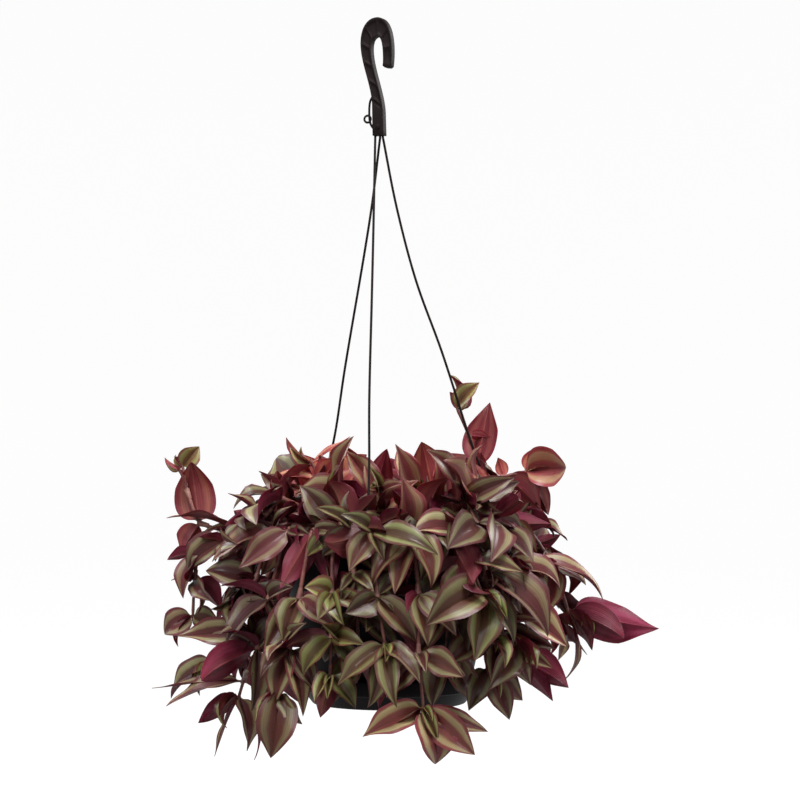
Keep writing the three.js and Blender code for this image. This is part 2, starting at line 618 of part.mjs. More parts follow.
function fillerStem(index, turnedOn) {
  const draw = draws(FIRST_FILLER_SEED + index);
  const bearing = SWEEP_START + SWEEP * ((index * GOLDEN_SHARE) % 1) + draw(-6, 6) + turnedOn;
  const root = onRing(bearing, 8 + 46 * Math.sqrt((index + 0.5) / FILLER_COUNT), 0);
  const foot = footAt(root.x, root.y);
  const trails = index % 4 !== 0;
  const reach = trails ? draw(98, 120) : draw(30, 60);
  const height = trails ? draw(-100, -44) : draw(18, 34);
  const crest = onRing(bearing, trails ? 62 : 30, trails ? draw(14, 24) : 12);
  const tip = onRing(bearing + draw(-14, 14), reach, height);
  const shoulder = trails ? onRing(bearing, 86, draw(8, 14)) : crest.clone().lerp(tip, 0.5);
  const route = new THREE.CatmullRomCurve3([foot[1], crest, shoulder, tip], false, 'catmullrom');
  const count = trails ? 6 : 4;
  const above = route.getPoints(count).slice(1);
  const leaves = above.map((base, joint) => {
    const along = base.clone().sub(joint ? above[joint - 1] : foot[1]).normalize();
    const outward = new THREE.Vector3(base.x - POT_X, base.y, 0).normalize();
    const flat = along.clone().cross(outward.clone().multiplyScalar(0.3).setZ(1));
    flat.normalize().multiplyScalar(joint % 2 ? 1 : -1);
    const leaning = along.clone().cross(flat);
    const twist = draw(-0.7, 0.7);
    const aside = flat.multiplyScalar(Math.cos(twist)).addScaledVector(leaning, Math.sin(twist));
    const splay = draw(0.8, 1.25);
    const direction = along.multiplyScalar(Math.cos(splay)).addScaledVector(aside, Math.sin(splay));
    direction.addScaledVector(outward, 0.2);
    direction.z += trails && joint > 1 ? draw(-0.9, -0.2) : draw(-0.4, 0.3);
    direction.normalize();
    const length = draw(42, 58) * (joint === count - 1 ? 0.8 : 1);
    const face = outward.clone().setZ(0.7);
    face.addScaledVector(direction, -face.dot(direction)).normalize();
    return {
      base,
      tip: base.clone().addScaledVector(direction, length),
      face,
      width: length * draw(0.42, 0.52),
      ...growth(draw),
    };
  });
  const kept = leaves.filter(({ tip: { x, z } }) => (
    z < RIM_Z - CLEAR_DROP || Math.abs(x - POT_X) < CLEAR_SIDE
  ));
  return { name: 'stem_fill_' + (index + 1), joints: withBud([...foot, ...above]), leaves: kept };
}

// Pieces already placed, which what comes later must stay clear of
const placed = [];
function place(owner, solid) {
  const { min, max } = solid.boundingBox();
  placed.push({ owner, solid, box: new THREE.Box3(vector(min), vector(max)) });
}
function isFree(owner, solid) {
  const { min, max } = solid.boundingBox();
  const box = new THREE.Box3(vector(min), vector(max));
  return placed.every((other) => other.owner === owner
    || !other.box.intersectsBox(box)
    || other.solid.intersect(solid).isEmpty());
}

place('pot', pot);
place('saucer', saucer);
place('hook', hook);
for (const [side, leg] of Object.entries(legs)) place('leg_' + side, leg);

const leafyStems = [];
function growStem(stem) {
  leafyStems.push({ ...stem, solids: [stemSolid(stem.joints)] });
  place(stem.name, stemSolid(stem.joints));
}
for (const [order, [name, plan]] of Object.entries(shownStems).entries()) {
  growStem(shownStem(name, plan, order));
}
for (let index = 0; index < FILLER_COUNT; index += 1) {
  const turns = Array.from({ length: MOST_TURNS }, (_, turn) => fillerStem(index, turn * TURN_ON));
  const clear = turns.find((stem) => isFree(stem.name, stemSolid(stem.joints, SPARE)));
  if (clear) growStem(clear);
}

// Soil: fills the pot, with a plain hole round every stem
const soilBottom = floorHeight + 2.6 + GAP;
let soil = turned([
  [0, soilBottom], [51, soilBottom], [58.6, -72 - WALL], [67.8, -SOIL_DEPTH - 3],
  [62, -SOIL_DEPTH], [0, -SOIL_DEPTH], [0, soilBottom],
], ROUND_SIDES);
place('soil', soil);
for (const { joints } of leafyStems) {
  const deeper = joints[0].clone().setZ(joints[0].z - GAP);
  soil = soil.subtract(stemSolid([deeper, ...joints.slice(1)], GAP));
}
addMesh('soil', soil, earth);

// A leaf that would cross another piece swings aside, and is left out when no swing is free
const SWINGS = [
  [0, 0], [7, 0], [-7, 0], [14, 0], [-14, 0], [0, 7], [0, -7], [21, 0], [-21, 0],
  [10, 10], [-10, -10], [10, -10], [-10, 10], [28, 0], [-28, 0], [0, 16], [0, -16],
];
const SIZES = [1, 0.8];
function swung(leaf, across, sideways, size) {
  const along = leaf.tip.clone().sub(leaf.base);
  const side = along.clone().normalize().cross(leaf.face);
  const tip = leaf.base.clone()
    .addScaledVector(along, size)
    .addScaledVector(leaf.face, across)
    .addScaledVector(side, sideways);
  const direction = tip.clone().sub(leaf.base).normalize();
  const face = leaf.face.clone().addScaledVector(direction, -leaf.face.dot(direction)).normalize();
  return { ...leaf, tip, face, width: leaf.width * size };
}
for (const stem of leafyStems) {
  for (const leaf of stem.leaves) {
    const trials = SIZES.flatMap((size) => SWINGS.map((swing) => swung(leaf, ...swing, size)));
    const free = trials.find((trial) => isFree(stem.name, bladeSolid(trial, SPARE)));
    if (!free) continue;
    const blade = bladeSolid(free);
    stem.solids.push(blade);
    place(stem.name, blade);
  }
  addMesh(stem.name, joined(stem.solids), foliage);
}

export default part;
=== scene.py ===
# A purple wandering dude in a round hanging pot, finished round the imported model.
# Metres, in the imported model's frame: the hook hangs from the origin, +Z is up, the viewer is at -Y.
import math

import bmesh
import bpy
from mathutils import Matrix, Vector
from mathutils.kdtree import KDTree


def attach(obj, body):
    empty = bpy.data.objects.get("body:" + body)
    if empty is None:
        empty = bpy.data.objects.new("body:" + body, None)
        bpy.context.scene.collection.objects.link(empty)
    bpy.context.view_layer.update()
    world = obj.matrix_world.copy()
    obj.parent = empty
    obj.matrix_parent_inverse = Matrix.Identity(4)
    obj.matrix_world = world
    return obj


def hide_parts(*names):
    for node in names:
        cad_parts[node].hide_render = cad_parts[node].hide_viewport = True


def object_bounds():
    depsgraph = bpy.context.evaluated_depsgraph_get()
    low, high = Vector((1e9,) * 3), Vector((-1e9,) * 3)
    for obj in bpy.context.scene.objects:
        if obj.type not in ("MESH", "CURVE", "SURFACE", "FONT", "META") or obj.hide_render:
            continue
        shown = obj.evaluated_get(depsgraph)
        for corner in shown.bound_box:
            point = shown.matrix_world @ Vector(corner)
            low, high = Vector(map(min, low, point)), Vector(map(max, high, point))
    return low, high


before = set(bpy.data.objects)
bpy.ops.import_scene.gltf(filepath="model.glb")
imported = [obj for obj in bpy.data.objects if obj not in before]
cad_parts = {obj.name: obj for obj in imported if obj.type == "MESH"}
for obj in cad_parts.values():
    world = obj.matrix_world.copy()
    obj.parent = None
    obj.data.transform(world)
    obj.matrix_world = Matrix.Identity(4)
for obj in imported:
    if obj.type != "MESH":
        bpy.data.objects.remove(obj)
cad_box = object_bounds()
scene = bpy.context.scene

# Camera: level, a little to the right of the hook, 1.73 m in front of it.


def put_in_scene(name, data):
    placed = bpy.data.objects.new(name, data)
    scene.collection.objects.link(placed)
    return placed


camera = put_in_scene("camera", bpy.data.cameras.new("camera"))
camera.location = (0.0143, -1.733, -0.242)
camera.rotation_euler = (math.pi / 2, 0, 0)
camera.data.lens = 117
camera.data.sensor_width = 36
scene.camera = camera

# Studio: a pale bowl that curves up from the floor, wide enough for a camera on any side of the
# plant. Its paper looks white, but gives the plant little light, so the lamps shape the leaves.
FLOOR_Z = -0.64
BOWL_PROFILE = [(0, 0), (2.2, 0), (2.9, 0.12), (3.4, 0.5), (3.6, 1.1), (3.6, 3.0)]
GLOW_UNSEEN, GLOW_SEEN = 0.07, 0.92     # of the paper, on the plant and to the camera
MIRRORED_SHARE = 0.35                   # of that glow, in what the leaves and the plastic reflect


def finish_material(name, values=None):
    """A new material; values are those that its shader has all over the surface."""
    material = bpy.data.materials.new(name)
    material.use_nodes = True
    shader = material.node_tree.nodes["Principled BSDF"]
    for socket, value in (values or {}).items():
        shader.inputs[socket].default_value = value
    return material, material.node_tree, shader


def add_node(tree, kind, feeds=None, **settings):
    """A new shader node; feeds gives a value or another node's output to each named input."""
    made = tree.nodes.new(kind)
    for key, value in settings.items():
        setattr(made, key, value)
    for socket, value in (feeds or {}).items():
        if isinstance(value, bpy.types.NodeSocket):
            tree.links.new(value, made.inputs[socket])
        else:
            made.inputs[socket].default_value = value
    return made


def map_range(tree, value, low, high, to_low, to_high):
    return add_node(tree, "ShaderNodeMapRange", {
        "Value": value, "From Min": low, "From Max": high, "To Min": to_low, "To Max": to_high,
    }).outputs["Result"]


def calculate(tree, operation, *values):
    return add_node(tree, "ShaderNodeMath", dict(enumerate(values)), operation=operation).outputs["Value"]


def mesh_from(name, form):
    data = bpy.data.meshes.new(name)
    form.to_mesh(data)
    form.free()
    return data


def spun_form(profile, across, level, steps):
    """A (radius, height) profile spun round an upright axis; across and level say where it starts."""
    form = bmesh.new()
    corners = [form.verts.new((across + radius, 0, level + height)) for radius, height in profile]
    edges = [form.edges.new(pair) for pair in zip(corners, corners[1:])]
    bmesh.ops.spin(form, geom=corners + edges, axis=(0, 0, 1), cent=(across, 0, 0), angle=2 * math.pi,
                   steps=steps, use_merge=True)
    bmesh.ops.remove_doubles(form, verts=form.verts[:], dist=1e-6)
    return form


bowl_data = mesh_from("studio_bowl", spun_form(BOWL_PROFILE, 0, FLOOR_Z, 64))
bowl_data.shade_smooth()
studio_paper, paper_tree, paper_shader = finish_material("studio_paper", {
    "Base Color": (0.16, 0.16, 0.16, 1), "Roughness": 1, "Specular IOR Level": 0,
    "Emission Color": (1, 1, 1, 1)})
paper_path = add_node(paper_tree, "ShaderNodeLightPath").outputs
paper_seen = calculate(
    paper_tree, "MULTIPLY_ADD", paper_path["Is Glossy Ray"], MIRRORED_SHARE, paper_path["Is Camera Ray"])
paper_glow = map_range(paper_tree, paper_seen, 0, 1, GLOW_UNSEEN, GLOW_SEEN)
paper_tree.links.new(paper_glow, paper_shader.inputs["Emission Strength"])
bowl_data.materials.append(studio_paper)
put_in_scene("studio_bowl", bowl_data)

sky = bpy.data.worlds.new("sky")
sky.use_nodes = True
sky.node_tree.nodes["Background"].inputs["Color"].default_value = (1, 1, 1, 1)
sky.node_tree.nodes["Background"].inputs["Strength"].default_value = 0.17
scene.world = sky
scene.view_settings.view_transform = "Standard"

LAMPS = {                       # each lamp's place, width and power
    "front_left": ((-1.2, -1.6, 1.0), 1.0, 24),
    "front_right": ((1.6, -1.1, 0.5), 0.9, 11),
    "top": ((0.15, -0.45, 1.3), 0.9, 34),
    "behind_left": ((-1.3, 1.0, 0.6), 0.8, 14),
    "behind_right": ((1.3, 1.1, 0.5), 0.8, 14),
}
for name, (place, size, power) in LAMPS.items():
    light = bpy.data.lights.new(name, "AREA")
    light.shape = "SQUARE"
    light.size = size
    light.energy = power
    lamp = put_in_scene(name, light)
    lamp.location = place
    lamp.rotation_euler = (Vector((0, 0, -0.33)) - Vector(place)).to_track_quat("-Z", "Y").to_euler()
    lamp.visible_camera = False

# Hanger hook: an S moulded in black polypropylene, with a ribbed web sunk between its edges,
# a flat tang with a small boss, and a thin tie loop at its left. Moulded in one piece.
HOOK_THICK = 0.0065
HOOK_TURN = math.radians(-20)
TANG = -0.066
TANG_STEPS, LIMB_STEPS, LEFT_STEPS, RIGHT_STEPS = 4, 20, 12, 18
NOSE_DROP = 1.7                 # mm, by which the middle of the hook's tip stands out
WEB_ROWS = (0, 0.12, 0.24, 0.76, 0.88, 1)   # shares of the width: an edge, its rim, the web, and back
WEB_DEPTH = 0.001
WEB_CELL = 6                    # a rib crosses the web at each sixth step of the outline


def bezier(ends, count):
    """Points on a cubic curve, without its first point; places are (x, z) in millimetres."""
    points = []
    for step in range(1, count + 1):
        t = step / count
        weights = ((1 - t) ** 3, 3 * t * (1 - t) ** 2, 3 * t * t * (1 - t), t ** 3)
        points.append(tuple(sum(w * end[axis] for w, end in zip(weights, ends)) for axis in (0, 1)))
    return points


def straight(start, end, count):
    return [tuple(a + (b - a) * step / count for a, b in zip(start, end)) for step in range(1, count + 1)]


hook_outside = [(-3.2, -66), *straight((-3.2, -66), (-3.6, -44), TANG_STEPS)]
hook_outside += bezier([(-3.6, -44), (-4.6, -31), (-11.8, -17), (-11.8, -4)], LIMB_STEPS)
hook_outside += bezier([(-11.8, -4), (-11.8, 5), (-8, 12.8), (0, 12.8)], LEFT_STEPS)
hook_outside += bezier([(0, 12.8), (10.8, 12.8), (11.4, -9), (9.8, -20.2)], RIGHT_STEPS)
hook_inside = [(4.6, -66), *straight((4.6, -66), (4.1, -50), TANG_STEPS)]
hook_inside += bezier([(4.1, -50), (3.4, -37), (-4.4, -20), (-4.4, -8)], LIMB_STEPS)
hook_inside += bezier([(-4.4, -8), (-4.4, -2.2), (-2.4, 0), (0, 0)], LEFT_STEPS)
hook_inside += [*bezier([(0, 0), (2.6, 0), (4.3, -4), (4.2, -17)], RIGHT_STEPS - 1), (3.9, -19.6)]

# Rows of quads from the tang to the tip, laid between the two outlines and extruded
hook_form = bmesh.new()
rungs = len(hook_outside) - 1
strips = len(WEB_ROWS) - 1
near_side = bmesh.ops.create_grid(hook_form, x_segments=rungs, y_segments=strips, size=1)["verts"]
sunk = []
for vert in near_side:
    column, row = round((vert.co.x + 1) / 2 * rungs), round((vert.co.y + 1) / 2 * strips)
    x, z = [a + (b - a) * WEB_ROWS[row] for a, b in zip(hook_inside[column], hook_outside[column])]
    if column == rungs:
        z -= NOSE_DROP * math.sin(math.pi * WEB_ROWS[row])
    vert.co = (x / 1000, -HOOK_THICK / 2, z / 1000)
    if row in (2, 3) and TANG_STEPS < column < rungs - 1 and column % WEB_CELL:
        sunk.append(vert)
solid_hook = bmesh.ops.extrude_face_region(hook_form, geom=hook_form.faces[:], use_keep_orig=True)
far_side = [item for item in solid_hook["geom"] if isinstance(item, bmesh.types.BMVert)]
sunk_places = {(vert.co.x, vert.co.z) for vert in sunk}
sunk_behind = [vert for vert in far_side if (vert.co.x, vert.co.z) in sunk_places]
bmesh.ops.translate(hook_form, verts=far_side, vec=(0, HOOK_THICK, 0))
bmesh.ops.translate(hook_form, verts=sunk, vec=(0, WEB_DEPTH, 0))
bmesh.ops.translate(hook_form, verts=sunk_behind, vec=(0, -WEB_DEPTH, 0))
bmesh.ops.recalc_face_normals(hook_form, faces=hook_form.faces[:])


def round_edges(form, edges, offset, segments=2, clamp=True):
    bmesh.ops.bevel(form, geom=edges, affect="EDGES", offset=offset, segments=segments, profile=0.5,
                    material=-1, clamp_overlap=clamp)


def edges_over(form, angle):
    """The edges that bend by more than the angle, in degrees."""
    limit = math.radians(angle)
    return [edge for edge in form.edges if edge.is_manifold and edge.calc_face_angle() > limit]


round_edges(hook_form, edges_over(hook_form, 28), 0.0005)


def sweep(form, path, radii, sides):
    """A capped tube of rings along a path of points; radii has one radius for each point."""
    ring = bmesh.ops.create_circle(form, cap_ends=False, radius=1, segments=sides)["verts"]
    edges = list({edge for vert in ring for edge in vert.link_edges})
    start_edges = edges
    normal = Vector((1, 0, 0))
    placed_by = Matrix.Identity(4)
    made = list(ring)
    for index, (point, radius) in enumerate(zip(path, radii)):
        tangent = (path[min(index + 1, len(path) - 1)] - path[max(index - 1, 0)]).normalized()
        if abs(normal.dot(tangent)) > 0.95:
            normal = Vector((0, 1, 0))
        normal = (normal - tangent * normal.dot(tangent)).normalized()
        turn = Matrix((normal, tangent.cross(normal), tangent)).transposed().to_4x4()
        place = Matrix.Translation(point) @ turn @ Matrix.Diagonal((radius, radius, radius, 1))
        if index:
            grown = bmesh.ops.extrude_edge_only(form, edges=edges)["geom"]
            ring = [item for item in grown if isinstance(item, bmesh.types.BMVert)]
            in_ring = set(ring)
            edges = [item for item in grown if isinstance(item, bmesh.types.BMEdge)
                     and set(item.verts) <= in_ring]
            made += ring
        bmesh.ops.transform(form, matrix=place @ placed_by.inverted(), verts=ring)
        placed_by = place
    for rim in (start_edges, edges):
        bmesh.ops.contextual_create(form, geom=rim)
    faces = list({face for vert in made for face in vert.link_faces})
    bmesh.ops.recalc_face_normals(form, faces=faces)
    return faces


def curve_through(points, steps, spacing=0.0):
    """Catmull-Rom points through the given ones; spacing 0.25 makes it centripetal."""
    ends = [2 * points[0] - points[1], *points, 2 * points[-1] - points[-2]]
    curve = []
    for p0, p1, p2, p3 in zip(ends, ends[1:], ends[2:], ends[3:]):
        d0, d1, d2 = [(b - a).length_squared ** spacing for a, b in ((p0, p1), (p1, p2), (p2, p3))]
        leave = ((p1 - p0) / d0 - (p2 - p0) / (d0 + d1) + (p2 - p1) / d1) * d1
        arrive = ((p2 - p1) / d1 - (p3 - p1) / (d1 + d2) + (p3 - p2) / d2) * d1
        for step in range(steps):
            t = step / steps
            curve.append(p1 + leave * t + (3 * (p2 - p1) - 2 * leave - arrive) * t ** 2
                         + (2 * (p1 - p2) + leave + arrive) * t ** 3)
    return curve + [points[-1].copy()]


def millimetres(place):
    return Vector(place) / 1000


boss = bmesh.ops.create_cone(hook_form, cap_ends=True, segments=16, radius1=0.0018, radius2=0.0018,
                             depth=HOOK_THICK + 0.0014)["verts"]
bmesh.ops.rotate(hook_form, verts=boss, matrix=Matrix.Rotation(math.pi / 2, 3, "X"))
bmesh.ops.translate(hook_form, verts=boss, vec=(0.0007, 0, -0.060))
boss_rims = list({edge for vert in boss for edge in vert.link_edges if edge.calc_face_angle(0) > 1})
round_edges(hook_form, boss_rims, 0.0004, clamp=False)
tie_path = curve_through([millimetres((x, 0, z)) for x, z in (
    (-3, -38), (-6, -43), (-6.6, -51), (-5.8, -57.5), (-2.4, -62.5))], 5)
sweep(hook_form, tie_path, [0.0008] * len(tie_path), 8)
before_eye = set(hook_form.verts)
eye_ring = bmesh.ops.create_circle(hook_form, radius=0.00075, segments=8)["verts"]
bmesh.ops.translate(hook_form, verts=eye_ring, vec=(0.0023, 0, 0))
eye_edges = list({edge for vert in eye_ring for edge in vert.link_edges})
bmesh.ops.spin(hook_form, geom=eye_ring + eye_edges, axis=(0, 1, 0), cent=(0, 0, 0),
               angle=2 * math.pi, steps=20, use_merge=True)
eye = [vert for vert in hook_form.verts if vert not in before_eye]
bmesh.ops.recalc_face_normals(hook_form, faces=list({face for vert in eye for face in vert.link_faces}))
bmesh.ops.translate(hook_form, verts=eye, vec=(-0.0078, 0, -0.0545))
bmesh.ops.rotate(hook_form, verts=hook_form.verts[:], matrix=Matrix.Rotation(HOOK_TURN, 3, "Z"))


def make_piece(name, form, materials, node, angle=40):
    """The finished mesh as a piece of the part, smooth but for edges sharper than angle."""
    data = mesh_from(name, form)
    data.shade_smooth()
    data.set_sharp_from_angle(angle=math.radians(angle))
    for material in materials:
        data.materials.append(material)
    piece = put_in_scene(name, data)
    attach(piece, "root")
    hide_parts(node)
    return piece


def new_group(name, inputs, outputs):
    """A shader node group with float inputs, given as name: value, and the named outputs."""
    group = bpy.data.node_groups.new(name, "ShaderNodeTree")
    for socket, value in inputs.items():
        made = group.interface.new_socket(name=socket, in_out="INPUT", socket_type="NodeSocketFloat")
        made.default_value = value
    for socket in outputs:
        group.interface.new_socket(name=socket, in_out="OUTPUT", socket_type="NodeSocketFloat")
    return group, group.nodes.new("NodeGroupInput"), group.nodes.new("NodeGroupOutput")


def use_group(tree, group, values=None):
    made = tree.nodes.new("ShaderNodeGroup")
    made.node_tree = group
    for socket, value in (values or {}).items():
        made.inputs[socket].default_value = value
    return made


def noise(tree, place, scale, detail=3.0, roughness=0.5, distortion=0.0):
    return add_node(tree, "ShaderNodeTexNoise", {
        "Vector": place, "Scale": scale, "Detail": detail, "Roughness": roughness,
        "Distortion": distortion}).outputs["Fac"]


def blend_colours(tree, share, first, second):
    mix = add_node(tree, "ShaderNodeMix", {"Factor": share, 6: first, 7: second}, data_type="RGBA")
    return mix.outputs[2]


def add_relief(tree, shader, height, strength, distance):
    bump = add_node(tree, "ShaderNodeBump", {"Height": height, "Strength": strength, "Distance": distance})
    tree.links.new(bump.outputs["Normal"], shader.inputs["Normal"])


# Moulded skin: the fine spark texture of a mould, broad flow marks, and dust that settles on
# whatever faces up. The hanger, the pot and the saucer have it.
moulded_skin, skin_in, skin_out = new_group(
    "moulded_skin", {"Grain Scale": 900.0, "Dust Amount": 0.4}, ["Grain", "Flow", "Dust"])
skin_place = add_node(moulded_skin, "ShaderNodeTexCoord").outputs["Object"]
skin_normal = add_node(moulded_skin, "ShaderNodeNewGeometry").outputs["Normal"]
skin_up = add_node(moulded_skin, "ShaderNodeSeparateXYZ", {"Vector": skin_normal}).outputs["Z"]
skin_cloud = noise(moulded_skin, skin_place, 260.0, 5.0, 0.7)
skin_dusty = calculate(
    moulded_skin, "MULTIPLY", map_range(moulded_skin, skin_up, -0.1, 0.95, 0.12, 1.0),
    map_range(moulded_skin, skin_cloud, 0.42, 0.72, 0.15, 1.0))
for output, source in (
        ("Grain", noise(moulded_skin, skin_place, skin_in.outputs["Grain Scale"])),
        ("Flow", noise(moulded_skin, skin_place, 38.0, 4.0, 0.5, 0.6)),
        ("Dust", calculate(moulded_skin, "MULTIPLY", skin_dusty, skin_in.outputs["Dust Amount"]))):
    moulded_skin.links.new(source, skin_out.inputs[output])


def moulded_plastic(name, colour, dust_colour, grain_scale, dust_amount, gloss, bump):
    material, tree, shader = finish_material(name, {"Specular IOR Level": 0.06})
    skin = use_group(tree, moulded_skin, {"Grain Scale": grain_scale, "Dust Amount": dust_amount})
    flow, dust = skin.outputs["Flow"], skin.outputs["Dust"]
    shade = blend_colours(tree, flow, (*[c * 0.7 for c in colour], 1), (*[c * 1.5 for c in colour], 1))
    tree.links.new(blend_colours(tree, dust, shade, (*dust_colour, 1)), shader.inputs["Base Color"])
    rough = calculate(tree, "ADD", map_range(tree, flow, 0, 1, gloss - 0.06, gloss + 0.08), dust)
    tree.links.new(rough, shader.inputs["Roughness"])
    add_relief(tree, shader, skin.outputs["Grain"], bump, 0.0002)
    return material


hanger_black = moulded_plastic(
    "hanger_black", (0.015, 0.010, 0.010), (0.11, 0.075, 0.070), 1300.0, 0.14, 0.46, 0.25)
make_piece("hook_moulding", hook_form, [hanger_black], "hook", angle=35)

# Hanger legs: three thin moulded strands of the same black polypropylene. Each is held in a
# socket of the tang and ends in a collar, a pin through the rim and a toggle under it.
RIM_Z = -0.330
POT_X = 0.007
LEG_RING = 0.0742
STRAND = 0.00085
LEG_BEARINGS = {"right": 17, "left": 137, "front": 257}
LEG_SOCKETS = {"left": (0.7, 1.1), "front": (-2, -0.9), "right": (3.4, -0.9)}
LEG_ROUTES = {
    "right": [(12, 4, -113), (25, 8, -162), (42.5, 12, -210), (60, 17, -264), (73, 21, -302)],
    "left": [(-5, 8, -115), (-23, 31, -220), (-31, 41, -270), (-40, 48, -304)],
    "front": [(-3.4, -19, -137), (-4.2, -31, -177), (-5.6, -48, -242), (-5.6, -61, -291),
              (-6.6, -68, -314)],
}


def on_ring(bearing, radius, height):
    """A point round the pot's axis; height is over the rim."""
    angle = math.radians(bearing)
    return Vector((POT_X + radius * math.cos(angle), radius * math.sin(angle), RIM_Z + height))


def rounded_block(form, size, turn, centre, edge):
    block = bmesh.ops.create_cube(form, size=1)["verts"]
    place = Matrix.Translation(centre) @ Matrix.Rotation(turn, 4, "Z") @ Matrix.Diagonal((*size, 1))
    bmesh.ops.transform(form, matrix=place, verts=block)
    edges = list({item for vert in block for item in vert.link_edges})
    round_edges(form, edges, edge, 3, clamp=False)


for side, route in LEG_ROUTES.items():
    leg_form = bmesh.new()
    socket = Matrix.Rotation(HOOK_TURN, 3, "Z") @ millimetres((*LEG_SOCKETS[side], 0))
    hole = on_ring(LEG_BEARINGS[side], LEG_RING, 0)
    top = Vector((socket.x, socket.y, TANG - 0.001))
    end = Vector((hole.x, hole.y, RIM_Z + 0.002))
    path = curve_through([top, *map(millimetres, route), end], 10, 0.25)
    sweep(leg_form, path, [STRAND] * len(path), 10)
    for centre, low, high in (
            (socket, TANG - 0.0015, TANG + 0.0045), (hole, RIM_Z - 0.0045, RIM_Z + 0.0025)):
        rod = [Vector((centre.x, centre.y, z)) for z in (low, (low + high) / 2, high)]
        sweep(leg_form, rod, [STRAND] * 3, 10)
    turn = math.radians(LEG_BEARINGS[side])
    rounded_block(leg_form, (0.0022, 0.0064, 0.002), turn, hole - Vector((0, 0, 0.0035)), 0.0004)
    rounded_block(leg_form, (0.0026, 0.0042, 0.003), turn, hole + Vector((0, 0, 0.0018)), 0.0005)
    make_piece("hanger_leg_" + side, leg_form, [hanger_black], "leg_" + side)

# Pot: a thin tapered shell, injection moulded in black polypropylene, with a step round its
# wall, a flat rim with three leg holes, and four drain holes in its floor.
POT_PROFILE = [
    (0, -106), (53, -106), (61, -72), (62.6, -70), (70.4, -14), (72, -12), (72.4, -2.2), (76.5, -2.2),
    (76.5, 0), (70.8, 0), (68.8, -14), (61, -71.6), (59.4, -73.6), (51.6, -103.8), (0, -103.8),
]


def turned_form(profile, steps, edge):
    """A closed shell spun round the pot's axis; profile is (radius, height over the rim) in mm."""
    form = spun_form([(radius / 1000, height / 1000) for radius, height in profile], POT_X, RIM_Z, steps)
    bmesh.ops.recalc_face_normals(form, faces=form.faces[:])
    if edge:
        level = [item for item in edges_over(form, 22)
                 if abs(item.verts[0].co.z - item.verts[1].co.z) < 1e-6]
        round_edges(form, level, edge)
    return form


def cut_holes(piece, holes):
    """Round holes through a piece; each hole is (centre, radius, depth)."""
    cutter_form = bmesh.new()
    for centre, radius, depth in holes:
        rod = bmesh.ops.create_cone(cutter_form, cap_ends=True, segments=20, radius1=radius,
                                    radius2=radius, depth=depth)["verts"]
        bmesh.ops.translate(cutter_form, verts=rod, vec=centre)
    cutter = put_in_scene("cutter", mesh_from("cutter", cutter_form))
    modifier = piece.modifiers.new("holes", "BOOLEAN")
    modifier.operation = "DIFFERENCE"
    modifier.object = cutter
    graph = bpy.context.evaluated_depsgraph_get()
    cut = bpy.data.meshes.new_from_object(piece.evaluated_get(graph))
    piece.modifiers.clear()
    piece.data = cut
    bpy.data.objects.remove(cutter)
    cut.set_sharp_from_angle(angle=math.radians(30))


pot_black = moulded_plastic(
    "pot_black", (0.010, 0.0085, 0.009), (0.13, 0.085, 0.070), 700.0, 0.14, 0.40, 0.45)
pot_shell = make_piece(
    "pot_shell", turned_form(POT_PROFILE, 96, 0.0004), [pot_black], "pot", angle=30)
pot_holes = [(on_ring(bearing, LEG_RING, -0.001), 0.00145, 0.006) for bearing in LEG_BEARINGS.values()]
pot_holes += [(on_ring(bearing, 0.032, -0.106), 0.004, 0.012) for bearing in (45, 135, 225, 315)]
cut_holes(pot_shell, pot_holes)

# Drip saucer: a shallow stepped dish of the same plastic. Three tabs inside its lip clip it
# to the pot, and a ring on its floor carries the pot.
SAUCER_PROFILE = [
    (0, -113), (51, -113), (58, -104), (60, -103.4), (61.4, -94), (59.6, -94), (58.4, -102),
    (56.6, -102.6), (50.6, -111), (47, -111), (47, -106.3), (45, -106.3), (45, -111), (0, -111),
]
saucer_form = turned_form(SAUCER_PROFILE, 96, 0.0004)
for bearing in (77, 197, 317):
    rounded_block(saucer_form, (0.0026, 0.007, 0.0024), math.radians(bearing),
                  on_ring(bearing, 0.0594, -0.0958), 0.0003)
make_piece("drip_saucer", saucer_form, [pot_black], "saucer", angle=30)

# Soil: peat potting mix pressed into the pot, with a rough top and loose crumbs on it.
SOIL_PROFILE = [(0, -103.1), (51, -103.1), (58.6, -73.6), (67.8, -15), (62, -12), (46, -12), (28, -12),
                (12, -12), (0, -12)]
CRUMBS = 260
SOIL_SEED = 501


def draws(seed):
    """The same chances every time, by the rule that the part's source uses."""
    state = [seed * 7919 + 17]

    def draw(low, high):
        state[0] = state[0] * 16807 % 2147483647
        return low + (high - low) * (state[0] / 2147483647)
    return draw


def colour_bands(tree, source, bands):
    """A colour ramp with the given (position, colour) stops."""
    ramp = add_node(tree, "ShaderNodeValToRGB", {"Fac": source})
    stops = ramp.color_ramp.elements
    stops[0].position, stops[0].color = bands[0][0], (*bands[0][1], 1)
    stops[1].position, stops[1].color = bands[-1][0], (*bands[-1][1], 1)
    for position, colour in bands[1:-1]:
        stops.new(position).color = (*colour, 1)
    return ramp.outputs["Color"]


